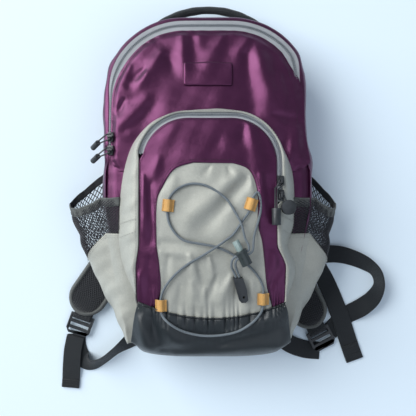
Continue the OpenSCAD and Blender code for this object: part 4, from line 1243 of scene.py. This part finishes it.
STRAP_TOP_W, STRAP_LOW_W = 44, 54
STRAP_ROUTES = {
    "left": [[-46, 186], [-49, 150], [-56, 95], [-70, 38], [-95, -14], [-128, -66], [-168, -124]],
    "right": [[46, 186], [49, 150], [56, 95], [68, 38], [86, -20], [110, -80], [140, -142]]}
LADDERS = {"left": (-181, -165, -20), "right": (160, -184, 27)}
ANCHOR_X = 103
TAB_FOLD = [[24, 9.0], [16, 8.8], [10.5, 8.7], [8.8, 7.2], [8.6, 5], [8.8, 2.9], [10.5, 1.4], [16, 1.3],
            [24, 1.3]]
ANCHOR_FOLD = [[-169.5, 6.0], [-178, 5.6], [-184.4, 5.8], [-185.8, 8.4], [-184.4, 11.2], [-178, 11.6],
               [-169.5, 11.4]]
WEBBINGS = {
    "webbing_left": [[-100, -180, 8, 0], [-112, -188, 8, 35], [-129, -200, 9, 60], [-148, -214, 9, 60],
                     [-164, -219, 5, 40], [-178, -212, 1, 0], [-185, -197, 1, 0], [-186, -178, 1, 0]],
    "webbing_tail_left": [[-187, -181, 3, 0], [-189, -190, 3.6, 0], [-191, -202, 4.6, 0], [-192, -216, 5, 0],
                          [-193, -230, 4, 0], [-194, -243, 1.6, 0], [-195, -254, 1, 0]],
    "webbing_right": [[102, -180, 8, 0], [116, -192, 4, 0], [137, -200, 1.2, 0], [158, -202, 1, 0]],
    "webbing_loop_right": [[172, -176, 1, 0], [184, -163, 1, 0], [198, -151, 1, 0], [216, -140, 6, 22],
                           [231, -126, 10, 48], [239, -108, 13, 70], [235, -90, 12, 64], [221, -78, 9, 42],
                           [200, -69, 6, 25], [180, -65, 4, 10], [152, -66, 2, 0]],
    "webbing_tail_right": [[150, -76, 2, 0], [165, -100, 1, 0], [178, -130, 3.4, 0], [190, -163, 3.6, 0],
                           [200, -193, 2.2, 0], [208, -215, 1, 0]]}


def ribbon_line(route):
    p = spline(route, 8)
    level = WEBBING_W / 2 * np.abs(np.sin(np.radians(p[:, 3]))) + WEBBING_T / 2 + 0.2
    p[:, 2] = np.maximum(p[:, 2], level)
    return p


def webbing(name, body):
    """A webbing ribbon; with a side's name as body it is put on no body, its transform baked into its
    points.
    """
    p = ribbon_line(WEBBINGS[name])
    obj = sweep_mesh(name + "_ribbon", p, strap_section(WEBBING_W, WEBBING_T), WEBBING, roll=p[:, 3])
    if body in ("left", "right"):
        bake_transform(obj)
    else:
        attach(obj, body)
    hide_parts(name)


def in_ladder(side, points):
    """Points given about a ladder lock, turned and moved to where it lies."""
    x, y, turn = LADDERS[side]
    a = math.radians(turn)
    p = np.asarray(points, float)
    q = p.copy()
    q[..., 0] = x + p[..., 0] * math.cos(a) - p[..., 1] * math.sin(a)
    q[..., 1] = y + p[..., 0] * math.sin(a) + p[..., 1] * math.cos(a)
    return q


def folded_ribbon(name, profile, half_w, place, body, replaced):
    """A webbing ribbon folded along a profile of y and z, as wide as twice half_w along x."""
    line = spline(profile, 6)
    x, y = np.meshgrid(np.linspace(-half_w, half_w, 13), line[:, 0])
    p = np.stack([x, y, np.broadcast_to(line[:, 1:2], x.shape)], 2)
    cloth(name, place(p), WEBBING, body, "black_webbing", replaced, thickness=1.3, offset=0)


def harness(side):
    """One strap with its webbing tab, ladder lock and lower anchor."""
    strap_body(side, STRAP_ROUTES[side])
    strap = f"strap_{side}"
    folded_ribbon(f"tab_{side}", TAB_FOLD, 12.5, lambda p: in_ladder(side, p), strap, f"strap_tab_{side}")
    for k, y in (("a", 13.5), ("b", 15.5), ("c", 21.5)):
        line = in_ladder(side, np.column_stack([np.linspace(-11, 11, 20), np.full(20, y), np.full(20, 9.7)]))
        stitches(f"tab_{side}_stitches_{k}", line, strap, "black_webbing", THREAD_BLACK, r=0.35)
    bevelled(f"ladder_lock_{side}", f"ladder_lock_{side}", "black_plastic", PLASTIC, 0.8, 3)
    at = [MIRROR[side] * ANCHOR_X, 0, 0]
    folded_ribbon(f"anchor_{side}", ANCHOR_FOLD, 10, lambda p: p + at, "pack", f"webbing_anchor_{side}")


harness("left")
harness("right")
webbing("webbing_left", "left")
webbing("webbing_right", "right")
webbing("webbing_tail_left", "strap_left")
webbing("webbing_loop_right", "strap_right")
webbing("webbing_tail_right", "strap_right")


def sewn_end(name, route_name, body):
    """Folded and stitched end of a webbing tail."""
    q = ribbon_line(WEBBINGS[route_name])[-9:, :3] + [0, 0, WEBBING_T * 0.9]
    obj = sweep_mesh(name, q, strap_section(WEBBING_W - 0.6, WEBBING_T), WEBBING)
    piece(obj, body, "black_webbing")
    d = q[-1] - q[0]
    d /= np.linalg.norm(d)
    s = np.array([d[1], -d[0], 0])
    for k, along in (("a", 0.25), ("b", 0.6), ("c", 0.9)):
        c = q[0] + (q[-1] - q[0]) * along + [0, 0, 1.0]
        line = c + s * np.linspace(-10, 10, 16)[:, None]
        stitches(f"{name}_stitches_{k}", line, body, "black_webbing", THREAD_BLACK, r=0.35)


sewn_end("tail_end_left", "webbing_tail_left", "strap_left")
sewn_end("tail_end_right", "webbing_tail_right", "strap_right")


# ---- Back, yoke and lining -------------------------------------------------------------------
SPINE_HALF = [[20, 182], [20, 70], [30, 34], [44, -20], [60, -66], [78, -104], [92, -132], [92, -176]]
YOKE = [[-70, 190], [70, 190], [72, 196], [66, 232], [60, 234], [-60, 234], [-66, 232], [-72, 196]]


def closed(half):
    """A closed outline from its right half, listed from the top."""
    half = np.asarray(half, float)
    return np.concatenate([half, (half * [-1, 1])[::-1]])


def back_parts():
    """The spine pad, the back cloth, the lining inside and the yoke."""
    pad = pillow("spine_pad", closed(SPINE_HALF), 0.0, 13.8, SPACER, 3.5)
    piece(pad, "pack", "spacer_mesh", "back_pad")
    back = pillow("back_cloth", closed(body_half(-BACK_INSET + 1)), BACK_Z + 0.1, BACK_Z + 2.6, PLUM, 1.2)
    piece(back, "pack", "plum_nylon", "back_panel")
    inner = pillow("inner_lining", closed(body_half(-BACK_INSET - 13)), 16.9, 21.0, LINING, 2.0, 0.6, 5, 0.5)
    piece(inner, "pack", "foam", "back_foam")
    yoke = pillow("yoke_cloth", YOKE, 12.3, 13.8, CHARCOAL, 0.7, rings=3)
    piece(yoke, "pack", "charcoal_coated", "yoke_patch")


HANDLE_R, HANDLE_CY, HANDLE_Z, HANDLE_SPREAD = 120, 152, 24, 52


def handle():
    """Tubular webbing handle, a little flattened, with its ends sewn behind the zip."""
    a = np.radians(np.linspace(90 + HANDLE_SPREAD, 90 - HANDLE_SPREAD, 60))
    path = np.column_stack([HANDLE_R * np.cos(a), HANDLE_CY + HANDLE_R * np.sin(a), np.full(60, HANDLE_Z)])
    i = np.arange(60)
    k = 1 + 0.03 * np.sin(i * 1.1) - 0.10 * np.exp(-((i - 30) / 4.0) ** 2)
    tube = sweep_mesh("handle_tube", path, circle_section(5.4, 20), WEBBING, scale=k)
    piece(tube, "haul_handle", "black_webbing", "haul_handle")
    for side, i0, i1 in (("a", 4, 24), ("b", 36, 56)):
        line = path[i0:i1] + [0, 0, 5.2]
        stitches(f"handle_stitches_{side}", line, "haul_handle", "black_webbing", THREAD_BLACK)


def panel_skin(x, y, lift):
    """Height a little over the folded cloth of the upper panel."""
    return front_z(x, y, lift) + folds(x, y, PANEL_FOLDS) + cloth_noise(x, y)


def patch():
    """Blank tone-on-tone patch on the upper panel."""
    u, v = np.meshgrid(np.linspace(-1, 1, 50), np.linspace(-1, 1, 30), indexing="ij")
    r = 0.12
    x, y = u * 31 * (1 - r * 0.25 * v ** 8), 170 + v * 15 * (1 - r * 0.4 * u ** 8)
    edge = np.minimum(1 - np.abs(u), (1 - np.abs(v)) * 0.5) * 31
    z = panel_skin(x, y, 0.6) - 0.6 + 0.9 * smooth(edge / 1.4)
    cloth("blank_patch", np.stack([x, y, z], 2), PLUM, "flap", "plum_nylon", "label_patch",
          thickness=0.8, planar_uv=True, flip=True)
    ring = resample([[-28, 158], [28, 158], [28, 182], [-28, 182]], 120, closed=True)
    line = np.column_stack([ring, panel_skin(ring[:, 0], ring[:, 1], 0.9)])
    stitches("patch_stitches", line, "flap", "plum_nylon", THREAD_PALE, r=0.4)


back_parts()
handle()
patch()


# ---- Lacing loops and hardware ---------------------------------------------------------------
def lie_on_pocket(x, y, turn):
    """Turns a flat local patch on to the pocket's face at a point."""
    a = math.radians(turn)
    base = rest_z(x, y)
    sx, sy = -(x - POCKET_X) / POCKET_R, -(y - POCKET_CY) / POCKET_R

    def place(p):
        q = np.asarray(p, float).copy()
        dx = p[..., 0] * math.cos(a) - p[..., 1] * math.sin(a)
        dy = p[..., 0] * math.sin(a) + p[..., 1] * math.cos(a)
        q[..., 0], q[..., 1] = x + dx, y + dy
        q[..., 2] = base + p[..., 2] + sx * dx + sy * dy
        return q
    return place


def lace_loop(name, x, y, turn):
    """Ribbon folded over the cord and sewn down at both sides."""
    place = lie_on_pocket(x, y, turn)
    s = np.linspace(-1, 1, 31)
    z = 0.9 + 4.6 * np.exp(-(np.abs(s) / 0.52) ** 3.2) + 0.25 * np.abs(s)
    x_run, y_run = np.meshgrid(s * 7.2, np.linspace(-7.4, 7.4, 17), indexing="ij")
    p = np.stack([x_run, y_run, z[:, None] + 0.12 * np.sin(y_run * 0.9)], 2)
    cloth(name + "_ribbon", place(p), RIBBON, "pack", "apricot_ribbon", name, thickness=0.7, offset=0)
    for k, at in (("a", -6.2), ("b", 6.2)):
        line = place(np.column_stack([np.full(12, at), np.linspace(-6.4, 6.4, 12), np.full(12, 1.5)]))
        stitches(f"{name}_stitches_{k}", line, "pack", "apricot_ribbon", RIBBON, 1.6, 0.6, 0.3)


lace_loop("lace_loop_top_left", -48, 3, -6)
lace_loop("lace_loop_top_right", 52, 4.5, -17)
lace_loop("lace_loop_bottom_left", -57.7, -120, 0)
lace_loop("lace_loop_bottom_right", 67.8, -112, 0)

for name in ("main_slider_upper", "main_slider_lower", "pocket_slider_upper", "pocket_slider_lower"):
    bevelled(name, name, "slider_metal", ENAMEL, 0.35, 2)
for name in ("main_pull_upper", "main_pull_lower", "barrel_pull", "disc_pull"):
    bevelled(name, name, "black_plastic", PLASTIC, 0.5, 2)
bevelled("cord_lock_barrel", "cord_lock", "black_plastic", LOCK_DARK, 0.4, 2)
bevelled("cord_lock_button", "cord_lock_button", "lock_plastic", LOCK_GREEN, 0.4, 2)
spring = bevelled("cord_lock_spring", "cord_lock", "spring_steel", STEEL, 0.1, 1)

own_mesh(spring)
